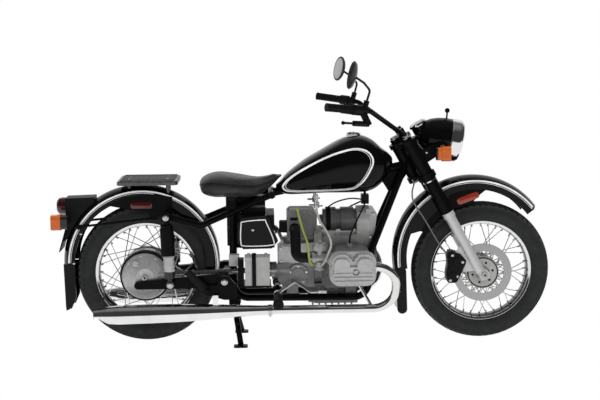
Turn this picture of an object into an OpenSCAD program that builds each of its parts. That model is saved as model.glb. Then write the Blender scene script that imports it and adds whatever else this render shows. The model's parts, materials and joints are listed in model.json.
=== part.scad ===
// Standard motorcycle: solo flat twin with shaft drive, standing on its centre stand.
// Millimetres. +X is forward, +Y is the rider's left, +Z is up, the floor is Z = 0.

/* [Wheels] */
// Outside diameter of both tyres
tyre_d = 642; // [630:1:650]
// Width of both tyres
tyre_w = 102; // [90:1:108]
// Height of the tyre above the rim flanges
tyre_h = 83; // [80:1:88]
// Width over the rim flanges
rim_w = 75; // [68:1:80]
// Spokes in each wheel, a multiple of four
spoke_count = 36; // [28:4:40]
// Thickness of a spoke
spoke_d = 4.2; // [3.5:0.1:5]
// Height of the rear tyre above the floor, on the stand
stand_lift = 12; // [8:1:20]

/* [Steering] */
// Angle of the steering axis from upright
rake = 29; // [27:0.5:30]
// Distance between the two fork legs
fork_gap = 208; // [206:1:216]
// Distance of the fork legs ahead of the steering axis
fork_offset = 45; // [40:1:50]
// Distance of the front axle ahead of the fork legs
axle_lead = 10; // [6:1:14]
// Diameter of the bare lower fork leg
slider_d = 47; // [42:1:52]
// Diameter of the covered upper fork leg
shroud_d = 63; // [58:1:64]
// Diameter of the front brake disc
disc_d = 270; // [250:2:276]
// Diameter over the headlamp's rim
lamp_d = 196; // [180:2:200]
// Width over the two handlebar grips
bar_w = 800; // [760:4:840]
// Diameter of each mirror
mirror_d = 120; // [100:2:130]

/* [Body] */
// Reach of the rearmost lamp behind the rear axle
tail_reach = 410; // [400:1:420]
// Half of each fender's width
fender_hw = 70; // [68:1:71]
// Outer radius of the front fender beyond the tyre's
front_fender_gap = 49; // [43:1:55]
// Outer radius of the rear fender beyond the tyre's
rear_fender_gap = 37; // [35:1:43]
// Half of the tank's greatest width
tank_hw = 134; // [115:1:145]
// Half of the saddle's greatest width
saddle_hw = 140; // [125:1:150]
// Top of the luggage rack above the rear fender
rack_rise = 27; // [23:1:39]
// Length of the luggage rack
rack_l = 272; // [240:2:290]
// Width of the luggage rack
rack_w = 230; // [200:2:250]

/* [Engine] */
// Room between the engine's nose and the front fender
nose_room = 60; // [50:1:75]
// Height of the crankshaft above the floor
crank_z = 405; // [402:1:410]
// Distance of each rocker cover's outer face from the middle
engine_hw = 390; // [380:1:400]
// Cooling fins on each cylinder
fin_count = 9; // [6:1:11]
// Diameter of the exhaust pipes
pipe_d = 38; // [34:1:42]
// Greatest diameter of the silencers
silencer_d = 86; // [76:1:90]

/* [Hidden] */
$fn = 48;
// Clearance between seated pieces, and play at pins
fit = 0.3;
// How far bends lap over straights, and the step of their outside
bend_lap = 1.6;
bend_step = 0.15;
tyre_r = tyre_d / 2;
rim_d = tyre_d - 2 * tyre_h;
front_fender_r = tyre_r + front_fender_gap;
rear_fender_r = tyre_r + rear_fender_gap;
// Cylinders ahead of the rear axle, and the two axles apart, as the pieces between them need
engine_ahead = rear_fender_r + 550;
wheelbase = engine_ahead + 166 + nose_room + front_fender_r + 41;
half_length = (tail_reach + wheelbase + tyre_r) / 2;
front_x = half_length - tyre_r;
rear_x = front_x - wheelbase;
rear_z = tyre_r + stand_lift;
eng_x = rear_x + engine_ahead;
cyl_shift = 16;
axle_d = 17;
tube_d = 32;
leg_y = fork_gap / 2;
steer_n = [cos(rake), 0, sin(rake)];
steer_u = [-sin(rake), 0, cos(rake)];
steer_foot = [front_x, 0, tyre_r] - (fork_offset + axle_lead) * steer_n;
// Heights along the steering axis, from the foot beside the front axle
low_yoke = front_fender_r + 145;
low_yoke_h = 26;
top_yoke = low_yoke + 179;
slider_top = low_yoke - 178;
top_yoke_h = 20;
head_d = 62;
stem_d = 30;
// Swingarm pivot, shock ends and stand pivot
pivot_x = rear_x + rear_fender_r + 2;
pivot_z = 318;
arm_in = 126;
arm_out = 150;
shock_y = 171;
shock_low = [rear_x + 118, 0, 309];
shock_top = [rear_x + 106, 0, 615];
stand_x = pivot_x + 38;
stand_z = 178;
// Engine planes
case_hw = 85;
head_in = 205;
head_out = 300;
exh_y = 250;
pipe_y = 190;
pipe_z = 190;
port_x = 90;
// Fender centres
rear_fender_c = [rear_x - 22, 0, rear_z + 50];
front_fender_c = [front_x - 41, 0, tyre_r + 76];
fender_t = 2.5;
fender_depth = 60;
gearbox_rear = eng_x - 306;
gearbox_front = eng_x - 140;
shaft_y = -94;
rack_x = rear_x + 20;
rack_z = rear_fender_c[2] + rear_fender_r + rack_rise;
tail_x = rear_fender_c[0] - rear_fender_r + 22;
tail_z = rear_fender_c[2];

function unit(v) = v / norm(v);
function lerp(a, b, t) = a + (b - a) * t;
function side_y(v, y) = [v[0], y, v[2]];
function on_steer(x, y, s) = steer_foot + x * steer_n + s * steer_u + [0, y, 0];
function curve(p0, p1, p2, p3, t) =
  p1 + 0.5 * t * (p2 - p0 + t * (2 * p0 - 5 * p1 + 4 * p2 - p3 + t * (3 * p1 - p0 - 3 * p2 + p3)));
function smooth(p, steps) = [
  for (i = [0 : len(p) - 2], k = [0 : steps - 1])
    curve(p[max(i - 1, 0)], p[i], p[i + 1], p[min(i + 2, len(p) - 1)], k / steps),
  p[len(p) - 1]
];
function bulge(c, k) = sign(c) * pow(abs(c), 2 / k);

// A round bar from p to q
module bar(p, q, d) {
  v = q - p;
  l = norm(v);
  translate(p) rotate([0, acos(v[2] / l), atan2(v[1], v[0])]) cylinder(d = d, h = l);
}

// A part of a bent pipe at corner p, from direction a to direction b, lapping both straights
module elbow(p, a, b, d, r) {
  turn = acos(a * b);
  c = p + unit(b - a) * (r / cos(turn / 2));
  x = unit(p - a * (r * tan(turn / 2)) - c);
  z = cross(x, a);
  lap = bend_lap / r * 180 / PI;
  multmatrix([
    [x[0], a[0], z[0], c[0]],
    [x[1], a[1], z[1], c[1]],
    [x[2], a[2], z[2], c[2]],
    [0, 0, 0, 1]
  ])
    rotate([0, 0, -lap]) rotate_extrude(angle = turn + 2 * lap) translate([r, 0]) circle(d = d + 2 * bend_step);
}

// A pipe through the points, bent with radius r at each inner one
module pipe(p, d, r) {
  n = len(p);
  dir = [for (i = [0 : n - 2]) unit(p[i + 1] - p[i])];
  cut = [for (i = [0 : n - 1]) (i == 0 || i == n - 1) ? 0 : r * tan(acos(dir[i - 1] * dir[i]) / 2) - bend_lap];
  for (i = [0 : n - 2])
    bar(p[i] + dir[i] * cut[i], p[i + 1] - dir[i] * cut[i + 1], d);
  for (i = [1 : 1 : n - 2])
    elbow(p[i], dir[i - 1], dir[i], d, r);
}

// A faceted skin over rings of equal length, closed at both ends
module skin(rings) {
  m = len(rings);
  n = len(rings[0]);
  points = [for (r = rings, q = r) q];
  sides = [
    for (j = [0 : m - 2], i = [0 : n - 1])
      [j * n + i, (j + 1) * n + i, (j + 1) * n + (i + 1) % n, j * n + (i + 1) % n]
  ];
  first = [for (i = [0 : n - 1]) i];
  last = [for (i = [n - 1 : -1 : 0]) (m - 1) * n + i];
  polyhedron(points, concat([first], sides, [last]));
}

// A body along X from stations [x, bottom, top, half width], rounded by k above and by low below
module hull_along_x(stations, steps, n, k, low) {
  rings = [
    for (s = smooth(stations, steps)) [
      for (i = [0 : n - 1])
        let (a = 360 * (i + 0.5) / n, e = sin(a) > 0 ? k : low)
          [s[0], s[3] * bulge(cos(a), e), (s[1] + s[2]) / 2 + (s[2] - s[1]) / 2 * bulge(sin(a), e)]
    ]
  ];
  skin(rings);
}

// A flexible hose through the points
module hose(p, d, steps, lean) {
  q = smooth(p, steps);
  m = len(q);
  rings = [
    for (j = [0 : m - 1])
      let (
        t = unit(q[min(j + 1, m - 1)] - q[max(j - 1, 0)]),
        side = unit(cross(lean, t)),
        up = cross(t, side)
      )
        [for (i = [0 : 7]) q[j] + d / 2 * (cos(45 * i) * side + sin(45 * i) * up)]
  ];
  skin(rings);
}

// An outline in X and Z, made solid between two planes of Y
module side_plate(y0, y1) {
  translate([0, y1, 0]) rotate([90, 0, 0]) linear_extrude(y1 - y0) children();
}

// An outline in Y and Z, made solid between two planes of X
module front_plate(x0, x1) {
  translate([x0, 0, 0]) rotate([90, 0, 90]) linear_extrude(x1 - x0) children();
}

// A profile of radius and Y, turned about an axle at c
module about_y(c) {
  translate(c) rotate([-90, 0, 0]) rotate_extrude($fn = 96) children();
}

// A profile of radius and X, turned about a shaft at c
module about_x(c) {
  translate(c) rotate([0, 90, 0]) rotate_extrude() children();
}

module cross_bar(c, y0, y1, d) {
  translate([c[0], y0, c[2]]) rotate([-90, 0, 0]) cylinder(d = d, h = y1 - y0);
}

module block(x, y, z) {
  translate([x[0], y[0], z[0]]) cube([x[1] - x[0], y[1] - y[0], z[1] - z[0]]);
}

module rounded(w, h, r) {
  square([w - 2 * r, h], center = true);
  square([w, h - 2 * r], center = true);
  for (i = [-1, 1], j = [-1, 1])
    translate([i * (w / 2 - r), j * (h / 2 - r)]) circle(r);
}

// A tapering strap between two points of X and Z
module strap(p, q, r1, r2) {
  d = unit([q[0] - p[0], q[1] - p[1]]);
  n = [-d[1], d[0]];
  translate(p) circle(r1);
  translate(q) circle(r2);
  polygon([p + n * r1, p - n * r1, q - n * r2, q + n * r2]);
}

module both_sides() {
  children();
  mirror([0, 1, 0]) children();
}

module in_steer() {
  translate(steer_foot) rotate([0, -rake, 0]) children();
}

/* Frame */

module frame() {
  low_z = 215;
  seat_z = 695;
  nose = on_steer(0, 0, low_yoke + 103);
  spine = on_steer(0, 0, low_yoke + 85);
  spine_end = [rear_x + 578, 0, seat_z];
  web = lerp(spine, spine_end, 0.24);
  front_low = [eng_x + 105, -80, low_z];
  rear_low = [stand_x, -55, low_z];
  rail_top = [stand_x, -66, 628];
  color([0.03, 0.03, 0.035]) difference() {
    union() {
      in_steer() translate([0, 0, low_yoke + low_yoke_h + 2])
        cylinder(d = head_d, h = top_yoke - low_yoke - low_yoke_h - 4);
      bar(spine, spine_end, 38);
      cross_bar(spine_end, -88, 88, 33);
      both_sides() {
        pipe([nose - [0, 16, 0], [eng_x + 120, -80, 430], front_low, rear_low, rail_top], tube_d, 70);
        pipe([spine_end - [0, 70, 0], [rear_x + 258, -95, 562], side_y(shock_top, -122) - [6, 0, 3]], 28, 60);
        cross_bar(shock_top, -arm_out, -fender_hw - 3, 30);
        cross_bar(shock_top, -190, -arm_out, 16);
        side_plate(-174, -164) swing_lug();
        block([stand_x - 22, stand_x + 30], [-71, -63], [stand_z - 18, low_z]);
        block([eng_x + 2, eng_x + 52], [-94, -62], [low_z, low_z + 21]);
        block([eng_x - 270, eng_x - 210], [-80, -48], [low_z, low_z + 21]);
        cross_bar([eng_x - 308, 0, 236], -120, -56, 22);
        cross_bar([stand_x - 115, 0, 281], -212, -170, 24);
      }
      cross_bar([stand_x, 0, 250], -172, 172, 30);
      cross_bar([pivot_x, 0, pivot_z], -178, 178, 20);
      cross_bar([stand_x, 0, stand_z], -76, 76, 14);
      side_plate(-4, 4) polygon([
        [nose[0], nose[2] - 20], [web[0], web[2]], [nose[0] - 76, nose[2] - 148], [nose[0] - 50, nose[2] - 140],
        [nose[0] + 10, nose[2] - 50]
      ]);
      block([stand_x - 30, stand_x + 150], [-28, 28], [640, 684]);
      block([stand_x + 24, stand_x + 50], [-182, -126], [299, 420]);
      block([stand_x - 30, stand_x + 30], [-90, 90], [634, 642]);
      block([stand_x - 10, stand_x + 180], [-60, 60], [450, 456]);
      block([stand_x - 5, stand_x + 172], [-82, -56], [293, 301]);
      block([stand_x + 24, stand_x + 172], [-190, -60], [293, 301]);
    }
    in_steer() translate([0, 0, low_yoke])
      cylinder(d = stem_d + 2 * fit, h = top_yoke - low_yoke);
  }
}

module swing_lug() {
  polygon([
    [stand_x + 18, 235], [stand_x + 18, 300], [pivot_x + 18, 345], [pivot_x - 18, 345],
    [pivot_x - 34, 302], [stand_x - 128, 302], [stand_x - 128, 262], [stand_x - 40, 235]
  ]);
}

/* Engine */

module engine_block() {
  alt_z = crank_z + 163;
  color([0.55, 0.56, 0.57]) union() {
    side_plate(-case_hw, case_hw) polygon([
      [eng_x - 106, crank_z - 120], [eng_x - 106, crank_z + 84], [eng_x - 90, crank_z + 100],
      [eng_x + 66, crank_z + 100], [eng_x + 82, crank_z + 84], [eng_x + 82, crank_z - 118],
      [eng_x + 60, crank_z - 143], [eng_x - 84, crank_z - 143]
    ]);
    about_x([eng_x - 140, 0, crank_z]) square([132, 35]);
    front_plate(eng_x + 58, eng_x + 116) {
      translate([0, alt_z]) circle(62);
      translate([0, crank_z]) circle(58);
      translate([-58, crank_z]) square([116, alt_z - crank_z]);
    }
    side_plate(-54, 54) polygon([
      [eng_x + 100, crank_z - 42], [eng_x + 124, crank_z - 30], [eng_x + 150, alt_z + 32],
      [eng_x + 138, alt_z + 51], [eng_x + 100, alt_z + 52]
    ]);
    both_sides() side_plate(-57, -40) {
      strap([eng_x + 110, crank_z - 18], [eng_x + 132, alt_z + 30], 11, 14);
      strap([eng_x + 72, alt_z + 34], [eng_x + 128, alt_z + 34], 10, 13);
    }
    about_x([eng_x + 110, 0, crank_z]) square([36, 42]);
    block([eng_x - 139, eng_x + 62], [-46, 46], [180, crank_z - 130]);
    block([eng_x - 166, eng_x + 62], [-47, 47], [186, 262]);
    for (i = [0 : 6])
      block([eng_x - 150 + 30 * i, eng_x - 142 + 30 * i], [-50, 50], [174, 250]);
    both_sides() block([eng_x + 4, eng_x + 50], [-85, -64], [236, crank_z - 140]);
    translate([eng_x - 60, -70, crank_z + 95]) cylinder(d = 34, h = 26);
    for (i = [-1, 1])
      both_sides() about_y([eng_x - 12 + 62 * i, -case_hw + 10, crank_z - 95])
        translate([0, -14]) square([15, 10]);
  }
}

module alternator() {
  alt_z = crank_z + 163;
  back = eng_x - 97;
  color([0.62, 0.63, 0.64]) difference() {
    union() {
      about_x([back, 0, alt_z]) {
        square([48, 155 - fit]);
        translate([0, 14]) square([56, 46]);
        translate([0, 82]) square([56, 60]);
      }
      about_x([back - 14, 0, alt_z]) square([22, 16]);
    }
    for (a = [0 : 30 : 330])
      translate([back, 0, alt_z]) rotate([a, 0, 0]) translate([24, 53, -5]) cube([26, 8, 10]);
  }
}

// A finned barrel at x, along -Y
module barrel(x) {
  pitch = (head_in - case_hw - 22) / fin_count;
  translate([x, 0, crank_z]) difference() {
    union() {
      side_plate(-case_hw - 12, -case_hw) rounded(128, 128, 40);
      cross_bar([0, 0, 0], -head_in, -case_hw, 108);
      for (i = [1 : fin_count])
        side_plate(-case_hw - 12 - pitch * i, -case_hw - 12 - pitch * i + 3) rounded(150, 146, 44);
      for (i = [-1, 1])
        cross_bar([34 * i, 0, 58], -head_in, -case_hw, 20);
    }
    cross_bar([0, 0, 0], -head_in - 1, -head_in + 40, 78);
  }
}

module cylinder_right() {
  color([0.5, 0.51, 0.52]) barrel(eng_x + cyl_shift);
}

module cylinder_left() {
  color([0.5, 0.51, 0.52]) mirror([0, 1, 0]) barrel(eng_x - cyl_shift);
}

// A finned head at x, along -Y, with its inlet behind and its exhaust port ahead
module head(x) {
  fins = 6;
  pitch = (head_out - head_in - 18) / fins;
  translate([x, 0, crank_z]) union() {
    side_plate(-head_out, -head_in) rounded(150, 118, 34);
    side_plate(-head_out, -head_out + 10) rounded(190, 138, 40);
    for (i = [0 : fins])
      side_plate(-head_in - 3 - pitch * i, -head_in - pitch * i) rounded(168, 158, 40);
    translate([70, -exh_y, -10]) rotate([0, 90, 0]) cylinder(d = 52, h = port_x - 70);
    translate([-96, -exh_y, 35]) rotate([0, 90, 0]) cylinder(d = 46, h = 40);
    translate([-8, -exh_y - 4, 40]) rotate([14, 0, 0]) cylinder(d = 22, h = 60);
  }
}

module head_right() {
  color([0.56, 0.57, 0.58]) head(eng_x + cyl_shift);
}

module head_left() {
  color([0.56, 0.57, 0.58]) mirror([0, 1, 0]) head(eng_x - cyl_shift);
}

// A ribbed rocker cover at x, along -Y: two lobes above, ribs below, a nut in the middle
module rocker_cover(x) {
  depth = engine_hw - head_out;
  translate([x, 0, crank_z]) {
    difference() {
      union() {
        side_plate(-head_out - depth * 0.45, -head_out - fit / 2) rounded(204, 146, 46);
        side_plate(-head_out - depth * 0.72, -head_out - depth * 0.42) {
          translate([0, -16]) rounded(196, 108, 42);
          for (i = [-1, 1])
            translate([i * 48, 22]) rounded(88, 92, 36);
        }
        side_plate(-engine_hw + 6, -head_out - depth * 0.7) {
          translate([0, -22]) rounded(176, 78, 34);
          for (i = [-1, 1])
            translate([i * 50, 14]) rounded(68, 78, 27);
        }
        for (z = [-47, -30, -13])
          side_plate(-engine_hw, -engine_hw + 20) translate([0, z]) rounded(166, 8, 3.9);
      }
      cross_bar([0, 0, 70], -engine_hw - 1, -head_out - depth * 0.3, 46);
      cross_bar([10, 0, -4], -engine_hw - 1, -engine_hw + 16, 30);
    }
    cross_bar([10, 0, -4], -engine_hw + 4, -engine_hw + 18, 15);
  }
}

module rocker_covers() {
  color([0.63, 0.64, 0.65]) {
    rocker_cover(eng_x + cyl_shift);
    mirror([0, 1, 0]) rocker_cover(eng_x - cyl_shift);
  }
}

// A carburettor behind the inlet of the head at x
module carburettor(x) {
  face = x - 96;
  z = crank_z + 35;
  translate([0, -exh_y, 0]) union() {
    about_x([face - 78, 0, z]) {
      square([24, 78 - fit]);
      translate([0, 70 - fit]) square([32, 8]);
      square([29, 14]);
    }
    translate([face - 42, 0, z - 52]) {
      cylinder(d = 50, h = 34);
      cylinder(d = 60, h = 8);
      translate([0, 0, -8]) cylinder(d = 18, h = 8);
    }
    translate([face - 42, 0, z]) cylinder(d = 40, h = 40);
    translate([face - 42, 0, z + 34]) {
      cylinder(d = 72, h = 22);
      cylinder(d = 62, h = 30);
      translate([0, 0, 30]) cylinder(d = 16, h = 12);
    }
  }
}

module carburettors() {
  color([0.45, 0.46, 0.47]) {
    carburettor(eng_x + cyl_shift);
    mirror([0, 1, 0]) carburettor(eng_x - cyl_shift);
  }
}

module gearbox() {
  x0 = gearbox_rear;
  x1 = gearbox_front - fit;
  color([0.52, 0.53, 0.54]) union() {
    side_plate(-84, 84) polygon([
      [x0, 300], [x0, 438], [x0 + 34, 464], [x1, 474], [x1, 268], [x0 + 24, 268]
    ]);
    side_plate(-92, -60) translate([x0 + 52, 420]) rounded(92, 78, 12);
    side_plate(-100, -60) translate([x0 + 92, 330]) circle(46);
    side_plate(-106, -60) translate([x0 + 92, 330]) circle(30);
    side_plate(60, 98) translate([x0 + 70, 368]) rounded(128, 150, 36);
    about_x([x0 - 6, shaft_y, 356]) square([26, 60]);
    both_sides() block([eng_x - 266, eng_x - 214], [-78, -50], [236, 275]);
    translate([x0 + 60, 0, 455]) cylinder(d = 70, h = 34);
  }
}

// Filter housing on the gearbox's boss
module air_box() {
  x = gearbox_rear + 44;
  z = crank_z + 84 + fit;
  color([0.5, 0.51, 0.52]) union() {
    side_plate(-79, 79) polygon([
      [x, z], [x + 118, z], [x + 118, z + 52], [x + 136, z + 60], [x + 136, z + 110], [x + 122, z + 129],
      [x + 14, z + 129], [x, z + 115]
    ]);
    side_plate(-82, 82) translate([x + 66, z + 66]) rounded(108, 100, 16);
    for (y = [-54, -27, 27, 54])
      side_plate(y - 4, y + 4) translate([x + 58, z + 69]) rounded(112, 122, 14);
    both_sides() cross_bar([gearbox_rear + 78, 0, crank_z + 135], -86, -70, 60);
  }
}

// Black box behind the side covers, between the frame's uprights
module tool_box() {
  color([0.05, 0.05, 0.055]) union() {
    block([stand_x + 32, stand_x + 190], [-95, 95], [456, 606]);
    block([stand_x + 40, stand_x + 150], [-50, 50], [600, 632]);
    block([stand_x - 26, stand_x + 36], [-40, 40], [456 + fit, 633.7]);
  }
}

// Intake hose from the carburettor at x to the filter housing
module air_hose(x) {
  z = crank_z + 35;
  back = gearbox_rear + 78;
  pipe([
    [x - fit, -exh_y, z], [back, -exh_y, z], [back, -exh_y + 60, z + 100], [back, -86 - fit, z + 100]
  ], 46, 30);
  bar([x - fit, -exh_y, z], [x - 12, -exh_y, z], 53);
  bar([back, -86 - fit, z + 100], [back, -98, z + 100], 53);
}

// Ignition coil under the frame's spine, and its leads
module rubber_hoses() {
  coil = [eng_x + 99, 0, crank_z + 256];
  color([0.04, 0.04, 0.042]) {
    air_hose(eng_x + cyl_shift - 174);
    mirror([0, 1, 0]) air_hose(eng_x - cyl_shift - 174);
    block([coil[0] - 17, coil[0] + 17], [-26, 26], [coil[2] - 21, coil[2] + 21]);
    bar(coil + [0, 0, 20], [coil[0], 0, coil[2] + 99], 12);
    plug_lead(coil, eng_x + cyl_shift, -1);
    plug_lead(coil, eng_x - cyl_shift, 1);
    hose([
      coil + [-17.3, -18, 0], coil + [-70, -42, 8], coil + [-130, -52, -4], coil + [-164, -34, -26],
      [coil[0] - 168, -12, crank_z + 221.6]
    ], 7, 5, [0, 1, 0.2]);
  }
}

module plug_lead(coil, x, side) {
  plug = [x - 8, side * (exh_y + 18.8), crank_z + 99.5];
  hose([
    coil + [-6, side * 26.3, -9], coil + [-8, side * 62, -20], lerp(coil, plug, 0.5) + [8, 0, 22],
    plug + [10, -side * 26, 46], plug + [0, -side * 1.5, 18], plug
  ], 8, 5, [1, 0, 0.2]);
}

// Breather hose of the filter housing, and the fuel hose from the right tap
module fuel_hoses() {
  carb = [eng_x + cyl_shift - 138, -exh_y, crank_z];
  box = [gearbox_rear + 89, -66, crank_z + 213.6];
  tap = [eng_x - 128, -88, 635.7];
  color([0.6, 0.62, 0.2]) hose([
    box, box + [0, -6, 14], box + [6, -44, -10], box + [24, -104, -74], carb + [-52, 22, 88],
    carb + [-50, -36, 44], carb + [-42, -34, 14], carb + [-26, -10, 1]
  ], 8, 5, [1, 0, 0]);
  color([0.8, 0.8, 0.78]) hose([
    tap, tap + [2, -6, -24], tap + [16, -42, -60], tap + [42, -112, -96], carb + [49, -14, 96],
    carb + [33, -42, 56], carb + [16, -44, 20], carb + [3, -26, 3]
  ], 8, 5, [1, 0, 0]);
}

module side_covers() {
  x = stand_x;
  color([0.03, 0.03, 0.035]) both_sides() difference() {
    union() {
      side_plate(-126, -95.3) cover_outline(0);
      side_plate(-130, -120) cover_outline(8);
    }
    cross_bar([x + 92, 0, 545], -132, -128, 20);
  }
}

// The side cover's outline, drawn in by a margin
module cover_outline(m) {
  p = [
    [stand_x + 22 + m, 486], [stand_x + 48, 456 + m], [stand_x + 178, 458 + m], [stand_x + 206 - m, 492],
    [stand_x + 168 - m, 590], [stand_x + 150, 608 - m], [stand_x + 44, 600 - m], [stand_x + 24 + m, 570]
  ];
  polygon(p);
}

module battery() {
  x0 = stand_x + 56;
  x1 = stand_x + 166;
  color([0.62, 0.63, 0.6]) union() {
    block([x0, x1], [-187, -112], [301, 412]);
    block([x0 - 2, x1 + 2], [-189, -110], [412, 430]);
    for (x = [x0 + 16, x1 - 16])
      translate([x, -135, 429]) cylinder(d = 14, h = 10);
    for (i = [0 : 5])
      translate([x0 + 12 + 17 * i, -165, 429]) cylinder(d = 11, h = 5);
    block([stand_x - 18, stand_x + 29], [-112, -77], [376, 427]);
  }
}

/* Exhaust */

module header(x) {
  port = [x + port_x, -exh_y, crank_z - 10];
  bend_x = x + port_x + 113;
  difference() {
    union() {
      pipe([
        port + [fit, 0, 0], [bend_x, -exh_y, crank_z - 10],
        [bend_x, -pipe_y, pipe_z], [silencer_front() + fit, -pipe_y, pipe_z]
      ], pipe_d, 100);
      bar(port + [fit, 0, 0], port + [22, 0, 0], 58);
      bar([x + 94, -pipe_y + 4, pipe_z + 14], [x + 23, -case_hw - 66, crank_z - 77.5], 14);
    }
    bar(port - [1, 0, 0], port + [20, 0, 0], pipe_d - 4);
  }
}

function silencer_front() = rear_x + 578;

module exhaust_headers() {
  color([0.8, 0.8, 0.82]) {
    header(eng_x + cyl_shift);
    mirror([0, 1, 0]) header(eng_x - cyl_shift);
  }
}

module silencers() {
  r = silencer_d / 2;
  front = silencer_front();
  back = rear_x - 224;
  long = front - back;
  color([0.8, 0.8, 0.82]) both_sides() difference() {
    union() {
      translate([front, -pipe_y, pipe_z]) rotate([0, -91, 0]) rotate_extrude() polygon([
        [0, 0], [pipe_d / 2 + 3, 0], [pipe_d / 2 + 3, 60], [r * 0.62, 150], [r * 0.84, 300], [r * 0.96, 440],
        [r, 560], [r, long - 110], [r * 0.9, long - 60], [r * 0.72, long - 16], [r * 0.66, long], [0, long]
      ]);
      block([stand_x - 90, stand_x - 66], [-pipe_y - 8, -pipe_y + 8], [pipe_z + 10, 262 - fit]);
    }
    translate([back - 20, -pipe_y, pipe_z - 13]) rotate([0, 90, 0]) cylinder(d = r * 1.1, h = 160);
    translate([back - 60, -pipe_y - 60, pipe_z - 120]) rotate([0, 34, 0]) cube([90, 120, 130]);
  }
}

/* Tank and saddle */

module fuel_tank() {
  back = rear_x + 598;
  front = on_steer(0, 0, low_yoke + 103)[0] - 68;
  long = front - back;
  w = tank_hw;
  spine = on_steer(0, 0, low_yoke + 85);
  spine_end = [rear_x + 578, 0, 695];
  slope = (spine[2] - spine_end[2]) / (spine[0] - spine_end[0]);
  shape = [
    [0, 716, 732, 0.16], [0.045, 698, 753, 0.38], [0.08, 690, 776, 0.5], [0.13, 688, 799, 0.6],
    [0.25, 690, 846, 0.78], [0.4, 694, 892, 0.9], [0.56, 694, 938, 0.98], [0.7, 695, 957, 1],
    [0.82, 704, 938, 0.93], [0.91, 738, 898, 0.76], [0.97, 786, 874, 0.52], [1, 816, 856, 0.3]
  ];
  lift = 24;
  color([0.02, 0.02, 0.025]) difference() {
    hull_along_x([for (s = shape) [back + s[0] * long, s[1], s[2], s[3] * w]], 3, 36, 2.7, 2.7);
    side_plate(-22, 22) polygon([
      [back - 50, 600], [front + 50, 600],
      [front + 50, spine_end[2] + lift + slope * (front + 50 - spine_end[0])],
      [back - 50, spine_end[2] + lift + slope * (back - 50 - spine_end[0])]
    ]);
    translate([back + 0.67 * long, 0, 945]) cylinder(d = 70, h = 40);
  }
}

module filler_cap() {
  back = rear_x + 598;
  long = on_steer(0, 0, low_yoke + 103)[0] - 68 - back;
  color([0.8, 0.8, 0.82]) translate([back + 0.67 * long, 0, 945 + fit]) rotate_extrude() polygon([
    [0, 0], [34, 0], [34, 16], [30, 22], [12, 25], [0, 25]
  ]);
}

module fuel_tap() {
  x = eng_x - 128;
  color([0.6, 0.6, 0.6]) both_sides() {
    translate([x, -88, 640]) cylinder(d = 16, h = 56);
    translate([x, -88, 636]) cylinder(d = 26, h = 26);
    bar([x, -88, 648], [x - 34, -88, 648], 9);
    bar([x, -88, 648], [x, -118, 648], 12);
    bar([x, -116, 648], [x + 26, -116, 648], 7);
  }
}

module saddle() {
  back = rear_x + 251;
  w = saddle_hw;
  shape = [
    [0, 716, 752, 0.42], [14, 698, 773, 0.72], [60, 690, 790, 0.93], [115, 690, 786, 1], [185, 690, 775, 0.92],
    [255, 693, 765, 0.7], [312, 722, 771, 0.44], [358, 764, 787, 0.25], [376, 778, 787, 0.12]
  ];
  color([0.04, 0.04, 0.042])
    hull_along_x([for (s = shape) [back + s[0], s[1], s[2], s[3] * w]], 3, 28, 2.6, 4);
}

module saddle_mounts() {
  color([0.06, 0.06, 0.065]) both_sides() translate([stand_x - 2, -58, 642]) rotate_extrude() polygon([
    [0, 0], [26, 0], [26, 6], [19, 12], [24, 19], [19, 26], [24, 33], [26, 40], [26, 47.4], [0, 47.4]
  ]);
}

/* Fenders, rack and tail */

// A fender's section at outer radius r: crowned top and flat sides
module fender_section(r, t) {
  crown = 118;
  difference() {
    intersection() {
      translate([r - crown, 0]) circle(crown, $fn = 120);
      translate([r - fender_depth, -fender_hw]) square([fender_depth + 1, 2 * fender_hw]);
    }
    intersection() {
      translate([r - crown, 0]) circle(crown - t, $fn = 120);
      translate([r - fender_depth - 1, -fender_hw + t]) square([fender_depth + 2, 2 * (fender_hw - t)]);
    }
  }
}

// A fender shell about c from angle a0 to a1, both measured up from the front
module fender_shell(c, r, a0, a1) {
  translate(c) rotate([90, 0, 0]) rotate([0, 0, a0])
    rotate_extrude(angle = a1 - a0, $fn = 180) fender_section(r, fender_t);
}

// What a piece seated on the crown is cut with
module fender_room(c, r) {
  translate(c) rotate([90, 0, 0]) rotate_extrude($fn = 180) difference() {
    intersection() {
      translate([r - 118, 0]) circle(118 + fit, $fn = 120);
      translate([r - 200, -fender_hw - fit]) square([240, 2 * fender_hw + 2 * fit]);
    }
    translate([-1, -200]) square([1, 400]);
  }
}

module mud_flap(top, tip, reach, hw) {
  side_plate(-hw, hw) flap_edge(top, tip, 4);
  both_sides() side_plate(-hw, -hw + 4) flap_edge(top, tip, reach);
}

// The flap's outline from the side: back edge from top to tip, and its depth
module flap_edge(top, tip, reach) {
  polygon([
    top, [top[0] + reach, top[1]], [tip[0] + reach * 0.9, tip[1] + 60],
    [tip[0] + reach * 0.5, tip[1] + 12], tip, [tip[0] - 2, tip[1] + 20]
  ]);
}

module rear_fender() {
  c = rear_fender_c;
  color([0.02, 0.02, 0.025]) {
    fender_shell(c, rear_fender_r, -7, 180);
    mud_flap(
      [c[0] - rear_fender_r + 5, c[2] - fit], [c[0] - rear_fender_r + 10, c[2] - 217], 52, fender_hw - 14
    );
  }
}

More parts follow.
